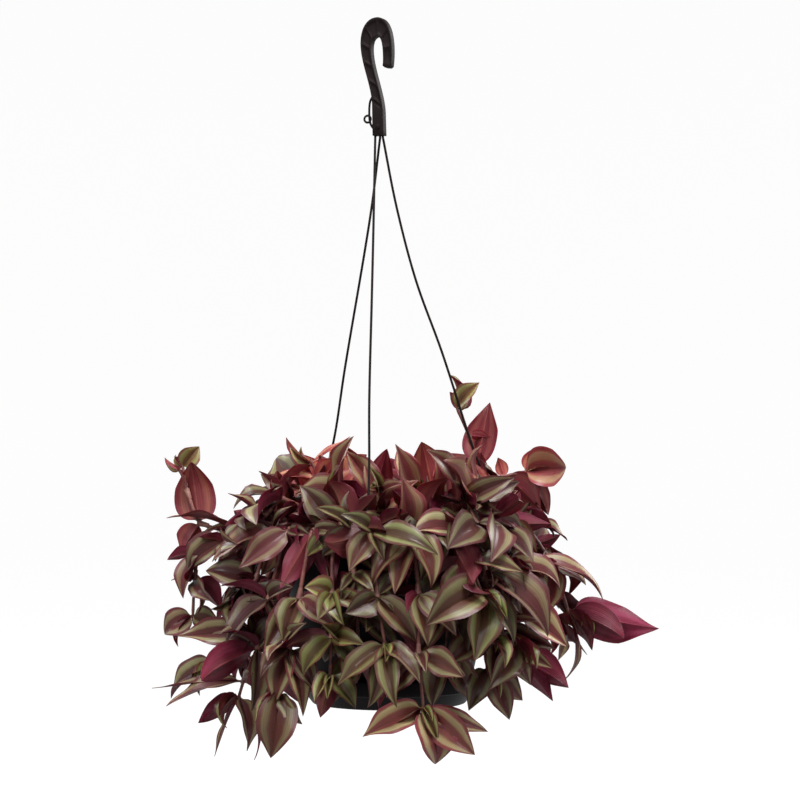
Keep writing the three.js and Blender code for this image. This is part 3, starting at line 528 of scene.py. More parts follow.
soil_form = turned_form(SOIL_PROFILE, 48, 0)
soil_draw = draws(SOIL_SEED)
for vert in soil_form.verts:
    if vert.co.z > RIM_Z - 0.0125 and math.hypot(vert.co.x - POT_X, vert.co.y) < 0.061:
        vert.co.z += soil_draw(-0.0016, 0.0006)
for _ in range(CRUMBS):
    size = soil_draw(0.0007, 0.0021)
    crumb = bmesh.ops.create_icosphere(soil_form, subdivisions=1, radius=size)["verts"]
    bearing, reach = soil_draw(0, 360), 0.060 * math.sqrt(soil_draw(0.01, 1))
    lump = on_ring(bearing, reach, -0.0122 + soil_draw(0, 0.0006))
    stretch = (soil_draw(0.7, 1.3), soil_draw(0.7, 1.3), soil_draw(0.45, 0.9))
    bmesh.ops.scale(soil_form, verts=crumb, vec=stretch)
    bmesh.ops.rotate(soil_form, verts=crumb, matrix=Matrix.Rotation(soil_draw(0, 3), 3, "Z"))
    bmesh.ops.translate(soil_form, verts=crumb, vec=lump)
potting_mix, soil_tree, soil_shader = finish_material("potting_mix")
soil_place = add_node(soil_tree, "ShaderNodeTexCoord").outputs["Object"]
soil_lumps = noise(soil_tree, soil_place, 220.0, 6.0, 0.7)
soil_fibre = add_node(soil_tree, "ShaderNodeTexVoronoi", {"Vector": soil_place, "Scale": 640.0})
soil_colour = colour_bands(soil_tree, soil_lumps, [
    (0.35, (0.008, 0.005, 0.003)), (0.72, (0.075, 0.045, 0.026))])
soil_tree.links.new(soil_colour, soil_shader.inputs["Base Color"])
soil_rough = map_range(soil_tree, soil_lumps, 0.3, 0.7, 0.85, 0.98)
soil_tree.links.new(soil_rough, soil_shader.inputs["Roughness"])
soil_height = calculate(soil_tree, "ADD", soil_lumps, soil_fibre.outputs["Distance"])
add_relief(soil_tree, soil_shader, soil_height, 0.8, 0.001)
make_piece("potting_soil", soil_form, [potting_mix], "soil", angle=60)

# Leafy stems: soft, trailing stems with a sheath at each joint and one pointed leaf from it.
# A leaf's top has two silver-green stripes on maroon; its underside is wine red, with paler bands of
# painted sheen.
# The higher leaves are coral, painted light that comes through them from behind. Each stem stands in the
# soil, and stands for the part's solid stem of the same name, with the same large leaves.
NECK_END, NECK_SHARE = 0.07, 0.12       # a blade's neck: its share of the length and of the width
BASE_POWER, TIP_POWER = 0.5, 0.85       # how round a blade is at its base, and how drawn out at its tip
WIDEST = BASE_POWER / (BASE_POWER + TIP_POWER)
DRAWN_FROM = 0.6                        # the drawn-out tip starts at this share of the length
TWIST_LEVEL = 0.4                       # a blade twists about this point of its length
FULLNESS = 1.12                         # blades are this much wider than they look from the front
STEM_RADIUS = 0.0019
BUD_LENGTH = 0.0035
SOIL_DEPTH, ROOT_DEPTH = 12, 24         # mm, of the soil under the rim and of the roots under the soil
SAME_PLACE = 5e-5                       # a leaf is where the solid has it if a corner is this near its tip

# The part's source tries these swings, (across, sideways) in mm, then smaller sizes, until a leaf is
# clear of its neighbours
SWINGS = [
    (0, 0), (7, 0), (-7, 0), (14, 0), (-14, 0), (0, 7), (0, -7), (21, 0), (-21, 0),
    (10, 10), (-10, -10), (10, -10), (-10, 10), (28, 0), (-28, 0), (0, 16), (0, -16),
]
SIZES = [1, 0.8]

# The stems by rule: where round the pot they start, how far on each is turned to find room, and the
# leaves that they leave out at the pot's sides, so that the single shoots there show
FIRST_SHOWN_SEED, FIRST_FILLER_SEED = 127, 29
FILLER_COUNT = 18
GOLDEN_SHARE = 0.618034
SWEEP_START, SWEEP = 300, 296
TURN_ON, MOST_TURNS = 6, 12
CLEAR_SIDE, CLEAR_DROP = 0.086, 0.022

# The stems that the photograph shows. Places are [across, depth, height over the rim] in mm, and a
# leaf is [joint, tip, width, turn]. A mood is how coral, how green and how light the leaves are. The
# last leaves may be pale, and a stem that stands clear has no side leaves from some joint on.
# In these moods, coral is painted light that comes through the higher leaves from behind, and lightness is
# partly painted: lower for stems in shade in the middle, higher for those on top
SHOWN_STEMS = {
    "far_left": {
        "root": [-28, -6], "mood": (0.45, 0.05, 0.9), "pale_from": 5, "clear_from": 3,
        "joints": [[-38, -8, 7], [-68, -10, 9], [-93, -8, 0], [-119, -4, 6], [-128, 4, 28],
                   [-131, 7, 43]],
        "leaves": [
            [1, [-62, -14, 42], 14, 150], [2, [-140, -12, 9], 14, 80], [3, [-125, 2, 48], 25, 180],
            [4, [-138, 8, 46], 6, 60], [5, [-120, 8, 57], 13, 20], [5, [-137, 6, 50], 7, 150],
            [3, [-131, -10, -13], 14, 160]]},
    "left_trail": {
        "root": [-30, -16], "mood": (0.12, 0.1, 0.9),
        "joints": [[-50, -20, 8], [-76, -24, 6], [-101, -24, -5], [-118, -22, -14], [-121, -22, -30],
                   [-122, -22, -54]],
        "leaves": [
            [1, [-84, -34, -24], 18, 20], [2, [-127, -30, -24], 19, 20], [2, [-80, -22, 4], 13, 60],
            [3, [-139, -24, -17], 11, 150], [3, [-129, -28, -42], 15, 30], [4, [-104, -24, -50], 16, 160],
            [5, [-143, -20, -66], 17, 30], [5, [-104, -26, -58], 14, 20]]},
    "left_front": {
        "root": [-34, -26], "mood": (0.05, 0.1, 0.75),
        "joints": [[-48, -32, 8], [-68, -42, 4], [-80, -44, -30], [-84, -44, -50], [-80, -44, -63]],
        "leaves": [
            [1, [-106, -46, -18], 19, 40], [2, [-113, -42, -22], 20, 10], [3, [-62, -56, -76], 18, 20],
            [2, [-58, -58, -54], 17, 20], [1, [-74, -56, -26], 18, 20], [4, [-130, -46, -66], 18, 30],
            [4, [-100, -52, -86], 17, 60]]},
    "left_low": {
        "root": [-30, -37], "mood": (0.12, 0, 0.9),
        "joints": [[-40, -46, 7], [-58, -58, 4], [-70, -60, -40], [-78, -54, -72], [-87, -50, -94],
                   [-90, -49, -104]],
        "leaves": [
            [1, [-62, -72, -46], 16, 180], [2, [-97, -66, -68], 18, 30], [2, [-52, -74, -66], 18, 20],
            [1, [-88, -68, -20], 17, 30], [3, [-131, -60, -86], 25, 160], [4, [-136, -52, -111], 14, 60],
            [4, [-145, -46, -103], 5, 60], [5, [-84, -60, -138], 17, 30], [5, [-104, -48, -143], 6, 60],
            [5, [-77, -46, -146], 8, 120], [5, [-117, -50, -122], 12, 170],
            [3, [-80, -64, -112], 17, 20]]},
    "left_bottom": {
        "root": [-20, -42], "mood": (0.1, 0.15, 0.9),
        "joints": [[-29, -54, 7], [-42, -72, 4], [-50, -77, -38], [-56, -79, -70], [-62, -80, -98]],
        "leaves": [
            [0, [-50, -58, 34], 18, 20], [1, [-62, -84, -30], 16, 180], [2, [-72, -86, -72], 17, 20],
            [2, [-26, -88, -58], 15, 20], [3, [-66, -88, -104], 17, 20], [3, [-38, -90, -98], 14, 30],
            [2, [-60, -90, -64], 18, 10], [1, [-30, -84, -30], 17, 170], [4, [-67, -84, -138], 23, 10],
            [4, [-48, -90, -118], 10, 0], [3, [-47, -90, -112], 15, 20]]},
    "fire_left": {
        "root": [-20, -2], "mood": (0.85, 0.3, 1.3), "clear_from": 2,
        "joints": [[-26, -4, 5], [-33, -8, 18], [-38, -9, 32], [-44, -8, 46]],
        "leaves": [
            [0, [-67, -12, 36], 11, 60], [1, [-52, -9, 53], 21, 160], [1, [-12, -14, 44], 16, 20],
            [2, [-71, -14, 39], 10, 50], [3, [-18, -10, 62], 4, 60], [2, [-26, -22, 50], 16, 160]]},
    "left_back": {
        "root": [-34, 8], "mood": (0.45, 0.1, 0.8),
        "joints": [[-44, 8, 8], [-62, 6, 12], [-82, 4, 4], [-90, 2, -6]],
        "leaves": [
            [1, [-74, 0, 32], 15, 170], [2, [-97, 6, 14], 12, 160], [3, [-123, 0, -22], 16, 60],
            [3, [-104, -8, -36], 16, 20], [1, [-60, 20, 38], 15, 160]]},
    "ember": {
        "root": [-12, 8], "mood": (0.75, 0.15, 1.25),
        "joints": [[-15, 6, 8], [-20, 2, 24], [-24, -2, 36]],
        "leaves": [
            [1, [-19, -6, 58], 22, 165], [2, [-29, -8, 55], 15, 20], [0, [-44, -4, 26], 16, 30],
            [2, [-8, 4, 52], 14, 160], [0, [8, -8, 28], 15, 30]]},
    "centre_magenta": {
        "root": [2, -22], "mood": (0, 0, 1.2),
        "joints": [[-2, -26, 2], [-3, -38, 14]],
        "leaves": [
            [1, [6, -40, 58], 17, 175], [1, [-24, -52, 8], 17, 20], [0, [26, -50, 16], 16, 30],
            [1, [26, -46, 36], 17, 30], [1, [-24, -40, 36], 14, 160]]},
    "coral": {
        "root": [26, 10], "mood": (0.85, 0.1, 1.3),
        "joints": [[30, 12, 5], [38, 16, 18], [44, 14, 30]],
        "leaves": [
            [1, [29, 14, 61], 26, 180], [2, [47, 8, 46], 16, 170], [1, [60, 4, 28], 16, 40],
            [0, [18, 2, 40], 16, 20], [2, [38, 0, 48], 14, 10]]},
    "right_tall": {
        "root": [46, 22], "mood": (0, 0, 1.2), "pale_from": 4, "clear_from": 1,
        "joints": [[52, 26, 6], [61, 30, 16], [67, 32, 42], [61, 30, 64], [53, 28, 82]],
        "leaves": [
            [1, [69, 30, 54], 19, 175], [2, [75, 30, 86], 20, 180], [3, [76, 34, 62], 8, 150],
            [4, [68, 26, 99], 13, 20], [4, [48, 28, 94], 6, 160], [0, [80, 26, 30], 16, 160]]},
    "sprig": {
        "root": [54, -8], "mood": (0.55, 0.25, 1.3), "clear_from": 2,
        "joints": [[60, -6, 8], [72, 0, 28], [84, 3, 37], [98, 5, 40]],
        "leaves": [
            [0, [62, -14, 40], 16, 30], [2, [80, 4, 50], 8, 170], [2, [107, -2, 15], 20, 150],
            [3, [127, 5, 42], 24, 20], [3, [114, 3, 10], 12, 170], [1, [64, 4, 46], 12, 170],
            [3, [112, 6, 56], 10, 150]]},
    "right_fan": {
        "root": [54, -20], "mood": (0.03, 0.35, 0.95), "clear_from": 2,
        "joints": [[68, -22, 8], [84, -25, 6], [93, -20, -8], [100, -16, -18]],
        "leaves": [
            [0, [66, -26, 40], 18, 20], [1, [94, -8, 27], 12, 170], [1, [114, -12, 6], 13, 160],
            [3, [152, -20, -40], 16, 70], [2, [104, -30, -46], 17, 20], [1, [104, -38, -14], 16, 30]]},
    "far_right": {
        "root": [58, 2], "mood": (0.1, 0, 1.05), "clear_from": 1,
        "joints": [[72, 2, 9], [98, 0, 4], [116, -4, -22], [126, -6, -52]],
        "leaves": [
            [1, [122, -10, 0], 16, 60], [2, [138, -14, -28], 16, 60], [3, [186, -10, -64], 25, 195],
            [3, [143, -6, -78], 12, 160], [3, [124, -12, -105], 9, 60], [2, [110, -14, -54], 16, 30],
            [3, [164, -22, -70], 18, 150]]},
    "right_front": {
        "root": [50, -30], "mood": (0.12, 0.15, 1.15),
        "joints": [[64, -37, 8], [78, -45, 4], [81, -48, -22], [84, -50, -46], [79, -54, -66]],
        "leaves": [
            [0, [88, -44, 30], 17, 20], [2, [122, -50, -31], 18, 45], [3, [123, -56, -71], 23, 30],
            [3, [54, -68, -56], 17, 20], [4, [97, -64, -95], 19, 10], [4, [72, -70, -99], 18, 10],
            [1, [96, -60, -24], 17, 30], [4, [112, -62, -84], 14, 20], [1, [60, -66, -24], 18, 20],
            [2, [102, -62, -50], 17, 20]]},
    "right_low": {
        "root": [42, -40], "mood": (0.1, 0.3, 1),
        "joints": [[52, -51, 7], [62, -64, 4], [67, -67, -28], [69, -66, -62], [70, -64, -84]],
        "leaves": [
            [0, [58, -72, 32], 17, 160], [2, [92, -74, -50], 18, 40], [2, [50, -80, -56], 18, 20],
            [1, [82, -76, -14], 17, 30], [3, [105, -66, -68], 11, 70], [4, [93, -66, -104], 17, 20],
            [4, [86, -66, -118], 15, 10], [3, [42, -82, -82], 17, 20], [4, [58, -76, -110], 15, 10]]},
    "right_magenta": {
        "root": [58, -9], "mood": (0.1, 0, 1.05),
        "joints": [[74, -11, 8], [87, -14, 2], [89, -19, -34], [90, -22, -64], [88, -24, -80]],
        "leaves": [
            [2, [114, -28, -54], 17, 30], [3, [112, -10, -86], 14, 30], [4, [126, -28, -100], 22, 160],
            [4, [114, -24, -110], 15, 160], [3, [72, -34, -96], 16, 20]]},
    "star": {
        "root": [14, -46], "mood": (0.15, 0.2, 1.2),
        "joints": [[18, -62, 7], [22, -82, 4], [26, -91, -34], [26, -95, -72], [29, -96, -106]],
        "leaves": [
            [0, [14, -72, 38], 19, 20], [1, [12, -98, -34], 17, 15], [1, [58, -78, 4], 17, 40],
            [1, [-7, -96, -28], 17, 20], [2, [32, -104, -66], 17, 20], [3, [54, -100, -86], 16, 30],
            [4, [39, -100, -143], 26, 10], [4, [61, -98, -135], 20, 15], [4, [70, -94, -121], 13, 20],
            [4, [-8, -100, -124], 18, 30], [4, [8, -100, -118], 15, 50], [3, [6, -104, -98], 16, 20],
            [2, [50, -100, -60], 17, 20], [1, [36, -98, -30], 18, 15]]},
    "silver": {
        "root": [2, -46], "mood": (0, 0.6, 0.8),
        "joints": [[0, -62, 7], [-3, -83, 4], [0, -92, -36], [5, -95, -66]],
        "leaves": [
            [1, [-36, -100, -4], 19, 175], [1, [36, -92, -18], 17, 25], [2, [-20, -100, -46], 16, 10],
            [3, [-4, -104, -106], 14, 0], [3, [13, -104, -106], 14, 10], [3, [-24, -100, -92], 16, 30],
            [3, [24, -102, -94], 14, 20], [2, [26, -102, -62], 16, 20], [1, [-18, -96, -20], 16, 20]]},
    "arch": {
        "root": [28, -42], "mood": (0, 0.6, 0.8),
        "joints": [[31, -59, 8], [42, -75, 5], [58, -83, -14], [66, -86, -34]],
        "leaves": [
            [0, [44, -64, 42], 19, 165], [1, [72, -84, 6], 17, 60], [1, [64, -94, -30], 23, 175],
            [3, [30, -98, -58], 24, 15], [3, [88, -88, -66], 16, 30], [2, [92, -84, -22], 16, 45],
            [0, [10, -72, 30], 16, 160], [3, [60, -98, -76], 20, 20], [2, [44, -94, -52], 18, 15],
            [1, [28, -92, -24], 16, 20]]},
    "curtain_left": {
        "root": [-8, -38], "mood": (0, 0.65, 0.68),
        "joints": [[-13.5, -57, 8], [-16.5, -79, 6], [-15, -81, -22], [-13, -78, -48], [-12, -76, -70]],
        "leaves": [
            [1, [-34, -84, -20], 18, 20], [1, [8, -84, -26], 17, 15], [2, [-36, -80, -52], 17, 170],
            [2, [14, -84, -46], 16, 20], [3, [-38, -80, -78], 17, 20], [3, [12, -82, -72], 17, 30],
            [4, [-28, -80, -104], 17, 20], [4, [2, -80, -108], 16, 170]]},
    "curtain_right": {
        "root": [34, -34], "mood": (0, 0.55, 0.72),
        "joints": [[38, -54, 8], [44, -71, 6], [45, -74, -22], [45, -72, -48], [44, -70, -70]],
        "leaves": [
            [1, [70, -76, -26], 17, 15], [2, [22, -82, -46], 17, 20], [2, [70, -70, -52], 16, 170],
            [3, [24, -80, -76], 17, 30], [3, [68, -72, -80], 17, 20], [4, [32, -78, -106], 17, 20],
            [4, [62, -72, -104], 16, 20]]},
    "young": {
        "root": [-14, -44], "mood": (0, 1, 1),
        "joints": [[-21, -60, 7], [-28, -77, 4], [-29, -85, -34], [-29, -87, -62], [-30, -88, -86]],
        "leaves": [
            [0, [-32, -66, 38], 18, 160], [1, [-48, -90, -22], 18, 20], [1, [-52, -82, -12], 16, 30],
            [2, [-4, -96, -42], 11, 0], [2, [-38, -98, -54], 12, 10], [3, [-8, -98, -66], 12, 20],
            [3, [-48, -94, -86], 16, 20], [2, [-46, -94, -30], 15, 20], [4, [-36, -94, -112], 12, 170],
            [4, [-13, -96, -106], 13, 30]]},
}

# Side leaves at each joint, and how often one shows its underside
SIDE_LEAVES, FILLER_SIDE_LEAVES = 3, 5
UNDERSIDE_SHARE = 0.4
# Light coming through the leaves from behind is painted into the colour of those that stand this high over
# the rim, from the first height on
PAINTED_BACKLIGHT_LOW, PAINTED_BACKLIGHT_HIGH = 0.024, 0.052


def turned_pair(first, second, angle):
    """Two directions at right angles, turned together in their plane: the first towards the second."""
    cos, sin = math.cos(angle), math.sin(angle)
    return first * cos + second * sin, second * cos - first * sin


def growth(draw):
    return {"bend": draw(0.35, 1.05), "fold": draw(0.34, 0.72), "twist": draw(-0.75, 0.75)}


def over_rim(across, depth, height):
    return millimetres((across, depth, RIM_Z * 1000 + height))


def foot_at(x, y):
    return [over_rim(x, y, height) for height in (-SOIL_DEPTH - ROOT_DEPTH, -SOIL_DEPTH + 3)]


def with_bud(joints):
    bud = joints[-1] + (joints[-1] - joints[-2]).normalized() * BUD_LENGTH
    return [*joints[:-1], bud]


def shown_stem(order, name, plan):
    draw = draws(FIRST_SHOWN_SEED + order)
    above = [over_rim(*place) for place in plan["joints"]]
    leaves = []
    for joint, place, width, turn in plan["leaves"]:
        base, tip = above[joint], over_rim(*place)
        along = (tip - base).normalized()
        towards = (Vector((0, -1, 0)) + along * along.y).normalized()
        aside = along.cross(towards)
        if aside.z + 0.2 * aside.x < 0:
            aside.negate()
        face = turned_pair(towards, aside, math.radians(turn + draw(-16, 16)))[0]
        leaves.append({"base": base, "tip": tip, "face": face, "joint": joint,
                       "width": width * FULLNESS / 1000, **growth(draw)})
    return {"name": "stem_" + name, "foot": foot_at(*plan["root"]), "above": above, "leaves": leaves,
            "mood": plan["mood"], "side_count": SIDE_LEAVES,
            "pale_from": plan.get("pale_from", len(above)),
            "clear_from": plan.get("clear_from", len(above) - 1)}


def filler_stem(index, turned_on):
    draw = draws(FIRST_FILLER_SEED + index)
    bearing = SWEEP_START + SWEEP * ((index * GOLDEN_SHARE) % 1) + draw(-6, 6) + turned_on
    root = on_ring(bearing, (8 + 46 * math.sqrt((index + 0.5) / FILLER_COUNT)) / 1000, 0) * 1000
    foot = foot_at(root.x, root.y)
    trails = index % 4 != 0
    reach = draw(98, 120) if trails else draw(30, 60)
    height = draw(-100, -44) if trails else draw(18, 34)
    crest = on_ring(bearing, 0.062 if trails else 0.030, (draw(14, 24) if trails else 12) / 1000)
    tip = on_ring(bearing + draw(-14, 14), reach / 1000, height / 1000)
    shoulder = on_ring(bearing, 0.086, draw(8, 14) / 1000) if trails else crest.lerp(tip, 0.5)
    count = 6 if trails else 4
    fine = curve_through([foot[1], crest, shoulder, tip], 12)
    above = [fine[round((len(fine) - 1) / count * step)] for step in range(1, count + 1)]
    leaves = []
    for joint, base in enumerate(above):
        along = (base - (above[joint - 1] if joint else foot[1])).normalized()
        outward = Vector((base.x - POT_X, base.y, 0)).normalized()
        flat = along.cross(outward * 0.3 + Vector((0, 0, 1))).normalized() * (1 if joint % 2 else -1)
        aside = turned_pair(flat, along.cross(flat), draw(-0.7, 0.7))[0]
        direction = turned_pair(along, aside, draw(0.8, 1.25))[0] + outward * 0.2
        direction.z += draw(-0.9, -0.2) if trails and joint > 1 else draw(-0.4, 0.3)
        direction.normalize()
        length = draw(42, 58) * (0.8 if joint == count - 1 else 1) / 1000
        face = outward + Vector((0, 0, 0.7))
        face = (face - direction * face.dot(direction)).normalized()
        leaves.append({"base": base, "tip": base + direction * length, "face": face, "joint": joint,
                       "width": length * draw(0.42, 0.52), **growth(draw)})
    kept = [leaf for leaf in leaves
            if leaf["tip"].z < RIM_Z - CLEAR_DROP or abs(leaf["tip"].x - POT_X) < CLEAR_SIDE]
    # A trailing filler's leaves are darker, as painted shade, and a crown filler's lighter and more coral,
    # as painted light
    return {"name": "stem_fill_%d" % (index + 1), "foot": foot, "above": above, "leaves": kept,
            "mood": (0.05, 0.20, 0.7) if trails else (0.15, 0.10, 0.9), "side_count": FILLER_SIDE_LEAVES,
            "pale_from": count, "clear_from": count - 1}


def swung(leaf, across, sideways, size):
    along = leaf["tip"] - leaf["base"]
    side = along.normalized().cross(leaf["face"])
    tip = leaf["base"] + along * size + leaf["face"] * (across / 1000) + side * (sideways / 1000)
    direction = (tip - leaf["base"]).normalized()
    face = (leaf["face"] - direction * leaf["face"].dot(direction)).normalized()
    return {**leaf, "tip": tip, "face": face, "width": leaf["width"] * size}


def corners_of(node):
    """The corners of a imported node, to look up which leaves the part's source kept, and where."""
    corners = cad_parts[node].data.vertices
    tree = KDTree(len(corners))
    for corner in corners:
        tree.insert(corner.co, corner.index)
    tree.balance()
    return tree


def half_width(t):
    past = max((t - NECK_END) / (1 - NECK_END), 0)
    swell = (past / WIDEST) ** BASE_POWER * ((1 - past) / (1 - WIDEST)) ** TIP_POWER
    swell *= 1 - 0.4 * max(t - DRAWN_FROM, 0) / (1 - DRAWN_FROM)
    return max(math.hypot(swell, NECK_SHARE * (1 - t) ** 3), 0.012)


def blank_leaf(name, columns, rows):
    """A flat leaf to bend: x is across, -1 to 1; y runs from base to tip; z is 1 on top, -1 below."""
    blank = bmesh.new()
    bmesh.ops.create_grid(blank, x_segments=columns, y_segments=rows, size=1)
    thick = bmesh.ops.extrude_face_region(blank, geom=blank.faces[:], use_keep_orig=True)["geom"]
    upper = {item for item in thick if isinstance(item, bmesh.types.BMVert)}
    for vert in blank.verts:
        vert.co.z = 1 if vert in upper else -1
    bmesh.ops.recalc_face_normals(blank, faces=blank.faces[:])
    leaf_uv = blank.loops.layers.uv.new("leaf_uv")
    blank.verts.layers.float_color.new("leaf_colour_and_painted_light")
    for face in blank.faces:
        face.material_index = 0 if face.normal.z > 0.5 else 1
        for corner in face.loops:
            corner[leaf_uv].uv = ((corner.vert.co.x + 1) / 2, (corner.vert.co.y + 1) / 2)
    return mesh_from(name, blank)


large_blank = blank_leaf("large_blank", 12, 26)
small_blank = blank_leaf("small_blank", 6, 10)
TOP_ROUND, EDGE_THICK, BLADE_THICK = 0.0002, 0.00012, 0.0001
MIDRIB_HIGH, MIDRIB_WIDE = 0.0005, 0.14
RIPPLES, RIPPLE_LAG = 1.7, 1.8          # along a margin, and how far one margin's are behind the other's


def grow_leaf(form, blank, leaf, mood, draw):
    """A blank leaf folded, bent and twisted into place; it keeps the outline of the part's solid."""
    phase, wave, lean, curl = draw(0, 1), draw(0.014, 0.046), draw(-0.35, 0.35), draw(-0.5, 1.0)
    base, tip, face = leaf["base"], leaf["tip"], leaf["face"]
    bend, fold, twist = leaf["bend"], leaf["fold"], leaf["twist"]
    along = (tip - base).normalized()
    length = (tip - base).length * (bend / 2) / math.sin(bend / 2)
    across = along.cross(face)
    start, up = turned_pair(along, face, bend / 2)
    form.from_mesh(blank)
    form.verts.ensure_lookup_table()
    mood_layer = form.verts.layers.float_color["leaf_colour_and_painted_light"]
    for vert in form.verts[-len(blank.vertices):]:
        x, y, z = vert.co
        t = 0.5 + 0.25 * (y + math.sin(math.pi / 2 * y))
        half = leaf["width"] / 2 * half_width(t)
        a = abs(x)
        upright = turned_pair(up, start, bend * t)[0]
        side, rise = turned_pair(across, upright, twist * (t - TWIST_LEVEL))
        centre = (base + start * (length / bend * math.sin(bend * t))
                  - up * (length / bend * (1 - math.cos(bend * t))))
        lift = half * fold * (1.3 * a - 0.3 * a * a) * (1 + (lean if x > 0 else -lean))
        ripple = math.sin(6.28 * (RIPPLES * t + phase) + (RIPPLE_LAG if x > 0 else 0))
        lift += wave * length * ripple * a * a * math.sin(math.pi * t)
        lift -= 0.15 * curl * length * max(t - 0.55, 0) ** 2 / 0.2
        if z > 0:
            lift += TOP_ROUND * (1 - a) ** 0.5
        else:
            midrib = MIDRIB_HIGH * math.exp(-(a / MIDRIB_WIDE) ** 2)
            lift -= EDGE_THICK + (midrib + BLADE_THICK * (1 - a)) * (1 - 0.8 * t)
        vert.co = centre + side * (half * x) + rise * lift
        vert[mood_layer] = mood


def small_leaf(base, direction, length, width_share, fold, shown, draw):
    """A leaf that only the render has; shown is 1 for its top outward and -1 for its underside."""
    direction = direction.normalized()
    outward = Vector((base.x - POT_X, base.y, 0)).normalized() * shown
    face = outward + Vector((draw(-0.4, 0.4), draw(-0.4, 0.4), draw(0.2, 0.9)))
    face = (face - direction * face.dot(direction)).normalized()
    return {"base": base, "tip": base + direction * length, "face": face, "width": length * width_share,
            "bend": draw(0.4, 1.1), "fold": fold, "twist": draw(-0.6, 0.6)}


def tip_leaves(above, draw):
    """The young leaves still folded round each other at the end of a stem."""
    end = above[-1]
    onward = (end - above[-2]).normalized()
    outward = Vector((end.x - POT_X, end.y, 0)).normalized()
    young = []
    for length in (0.024, 0.019, 0.014, 0.010):
        spread = Vector((draw(-1, 1), draw(-1, 1), draw(-1, 1))) * 0.42
        young.append(small_leaf(end, onward + outward * 0.7 + spread, length, draw(0.34, 0.42),
                                draw(0.9, 1.5), 1, draw))
    return young


def side_leaves(above, count, draw):
    """The smaller leaves of side shoots, which fill the plant out between its large leaves."""
    small = []
    for base in above:
        outward = Vector((base.x - POT_X, base.y, 0)).normalized()
        for _ in range(count):
            spread = Vector((draw(-1, 1), draw(-1, 1), draw(-1, 0.6)))
            shown = -1 if draw(0, 1) < UNDERSIDE_SHARE else 1
            small.append(small_leaf(base, spread.normalized() + outward * 0.35, draw(0.016, 0.036),
                                    draw(0.38, 0.48), draw(0.4, 0.9), shown, draw))
    return small


SHEATH_HAIRS = 7


def grow_stem(form, joints):
    """The stem itself, a sheath under each joint, and a few hairs at each sheath's mouth."""
    path = []
    smooth = curve_through(joints, 4)
    for index, (here, there) in enumerate(zip(joints, joints[1:])):
        for step in range(4):
            path.append(here.lerp(there, step / 4).lerp(smooth[index * 4 + step], 0.4))
    path.append(joints[-1])
    steps = len(path) - 1
    radii = [STEM_RADIUS * (1 - 0.5 * k / steps) * (1.12 if k % 4 == 3 else 0.98) for k in range(steps)]
    radii.append(STEM_RADIUS * 0.3)
    for item in sweep(form, path, radii, 8):
        item.material_index = 2
    for index in range(2, len(joints) - 1):
        joint = joints[index]
        upward = (joint - joints[index - 1]).normalized()
        radius = STEM_RADIUS * (1 - 0.5 * index / (len(joints) - 1))
        sheath = bmesh.ops.create_cone(form, cap_ends=False, segments=10, radius1=radius + 0.0002,
                                       radius2=radius + 0.0009, depth=0.007)["verts"]
        turn = upward.to_track_quat("Z", "Y").to_matrix()
        seat = Matrix.Translation(joint - upward * 0.003) @ turn.to_4x4()
        bmesh.ops.transform(form, matrix=seat, verts=sheath)
        skins = {face for vert in sheath for face in vert.link_faces}
        for hair in range(SHEATH_HAIRS):
            angle = 2 * math.pi * hair / SHEATH_HAIRS
            aside = turn @ Vector((math.cos(angle), math.sin(angle), 0))
            out = (aside + upward * 0.9).normalized()
            thin = bmesh.ops.create_cone(form, cap_ends=False, segments=3, radius1=0.00007, radius2=0.0,
                                         depth=0.0018)["verts"]
            foot = joint + upward * 0.0004 + aside * (radius + 0.0009)
            lean = out.to_track_quat("Z", "Y").to_matrix().to_4x4()
            bmesh.ops.transform(form, matrix=Matrix.Translation(foot + out * 0.0009) @ lean, verts=thin)
            skins |= {face for vert in thin for face in vert.link_faces}
        for item in skins:
            item.material_index = 3


# Leaf grain: where a point lies across the blade (0 at the midrib, 1 at the edge) and along it,
# with lengthwise streaks, soft mottling and fine parallel veins.
leaf_grain, grain_in, grain_out = new_group(
    "leaf_grain", {"Streak Amount": 0.11, "Vein Count": 9.0},
    ["Along", "Wavy Across", "Streak", "Mottle", "Veins"])
grain_uv = add_node(leaf_grain, "ShaderNodeUVMap", uv_map="leaf_uv").outputs["UV"]
grain_split = add_node(leaf_grain, "ShaderNodeSeparateXYZ", {"Vector": grain_uv})
grain_across = calculate(leaf_grain, "ABSOLUTE", calculate(
    leaf_grain, "MULTIPLY_ADD", grain_split.outputs["X"], 2.0, -1.0))
grain_place = add_node(leaf_grain, "ShaderNodeTexCoord").outputs["Object"]
grain_mottle = noise(leaf_grain, grain_place, 210.0)
grain_stretch = add_node(leaf_grain, "ShaderNodeMapping", {"Vector": grain_uv, "Scale": (22, 1.6, 1)})
grain_apart = add_node(leaf_grain, "ShaderNodeMapping", {"Vector": grain_place, "Scale": (18, 18, 18)})
grain_sum = add_node(leaf_grain, "ShaderNodeVectorMath", {
    0: grain_stretch.outputs["Vector"], 1: grain_apart.outputs["Vector"]}, operation="ADD")
grain_streak = noise(leaf_grain, grain_sum.outputs["Vector"], 1.0, 4.0, 0.6)
grain_both = calculate(leaf_grain, "ADD", grain_streak, grain_mottle)
grain_push = calculate(leaf_grain, "SUBTRACT", grain_both, 1.0)
grain_wavy = calculate(leaf_grain, "MULTIPLY_ADD", grain_push, grain_in.outputs["Streak Amount"],
                       grain_across)
grain_turns = calculate(leaf_grain, "MULTIPLY", calculate(
    leaf_grain, "MULTIPLY", grain_across, grain_in.outputs["Vein Count"]), 2 * math.pi)
for output, source in (
        ("Along", grain_split.outputs["Y"]), ("Streak", grain_streak), ("Mottle", grain_mottle),
        ("Wavy Across", grain_wavy), ("Veins", calculate(leaf_grain, "SINE", grain_turns))):
    leaf_grain.links.new(source, grain_out.inputs[output])


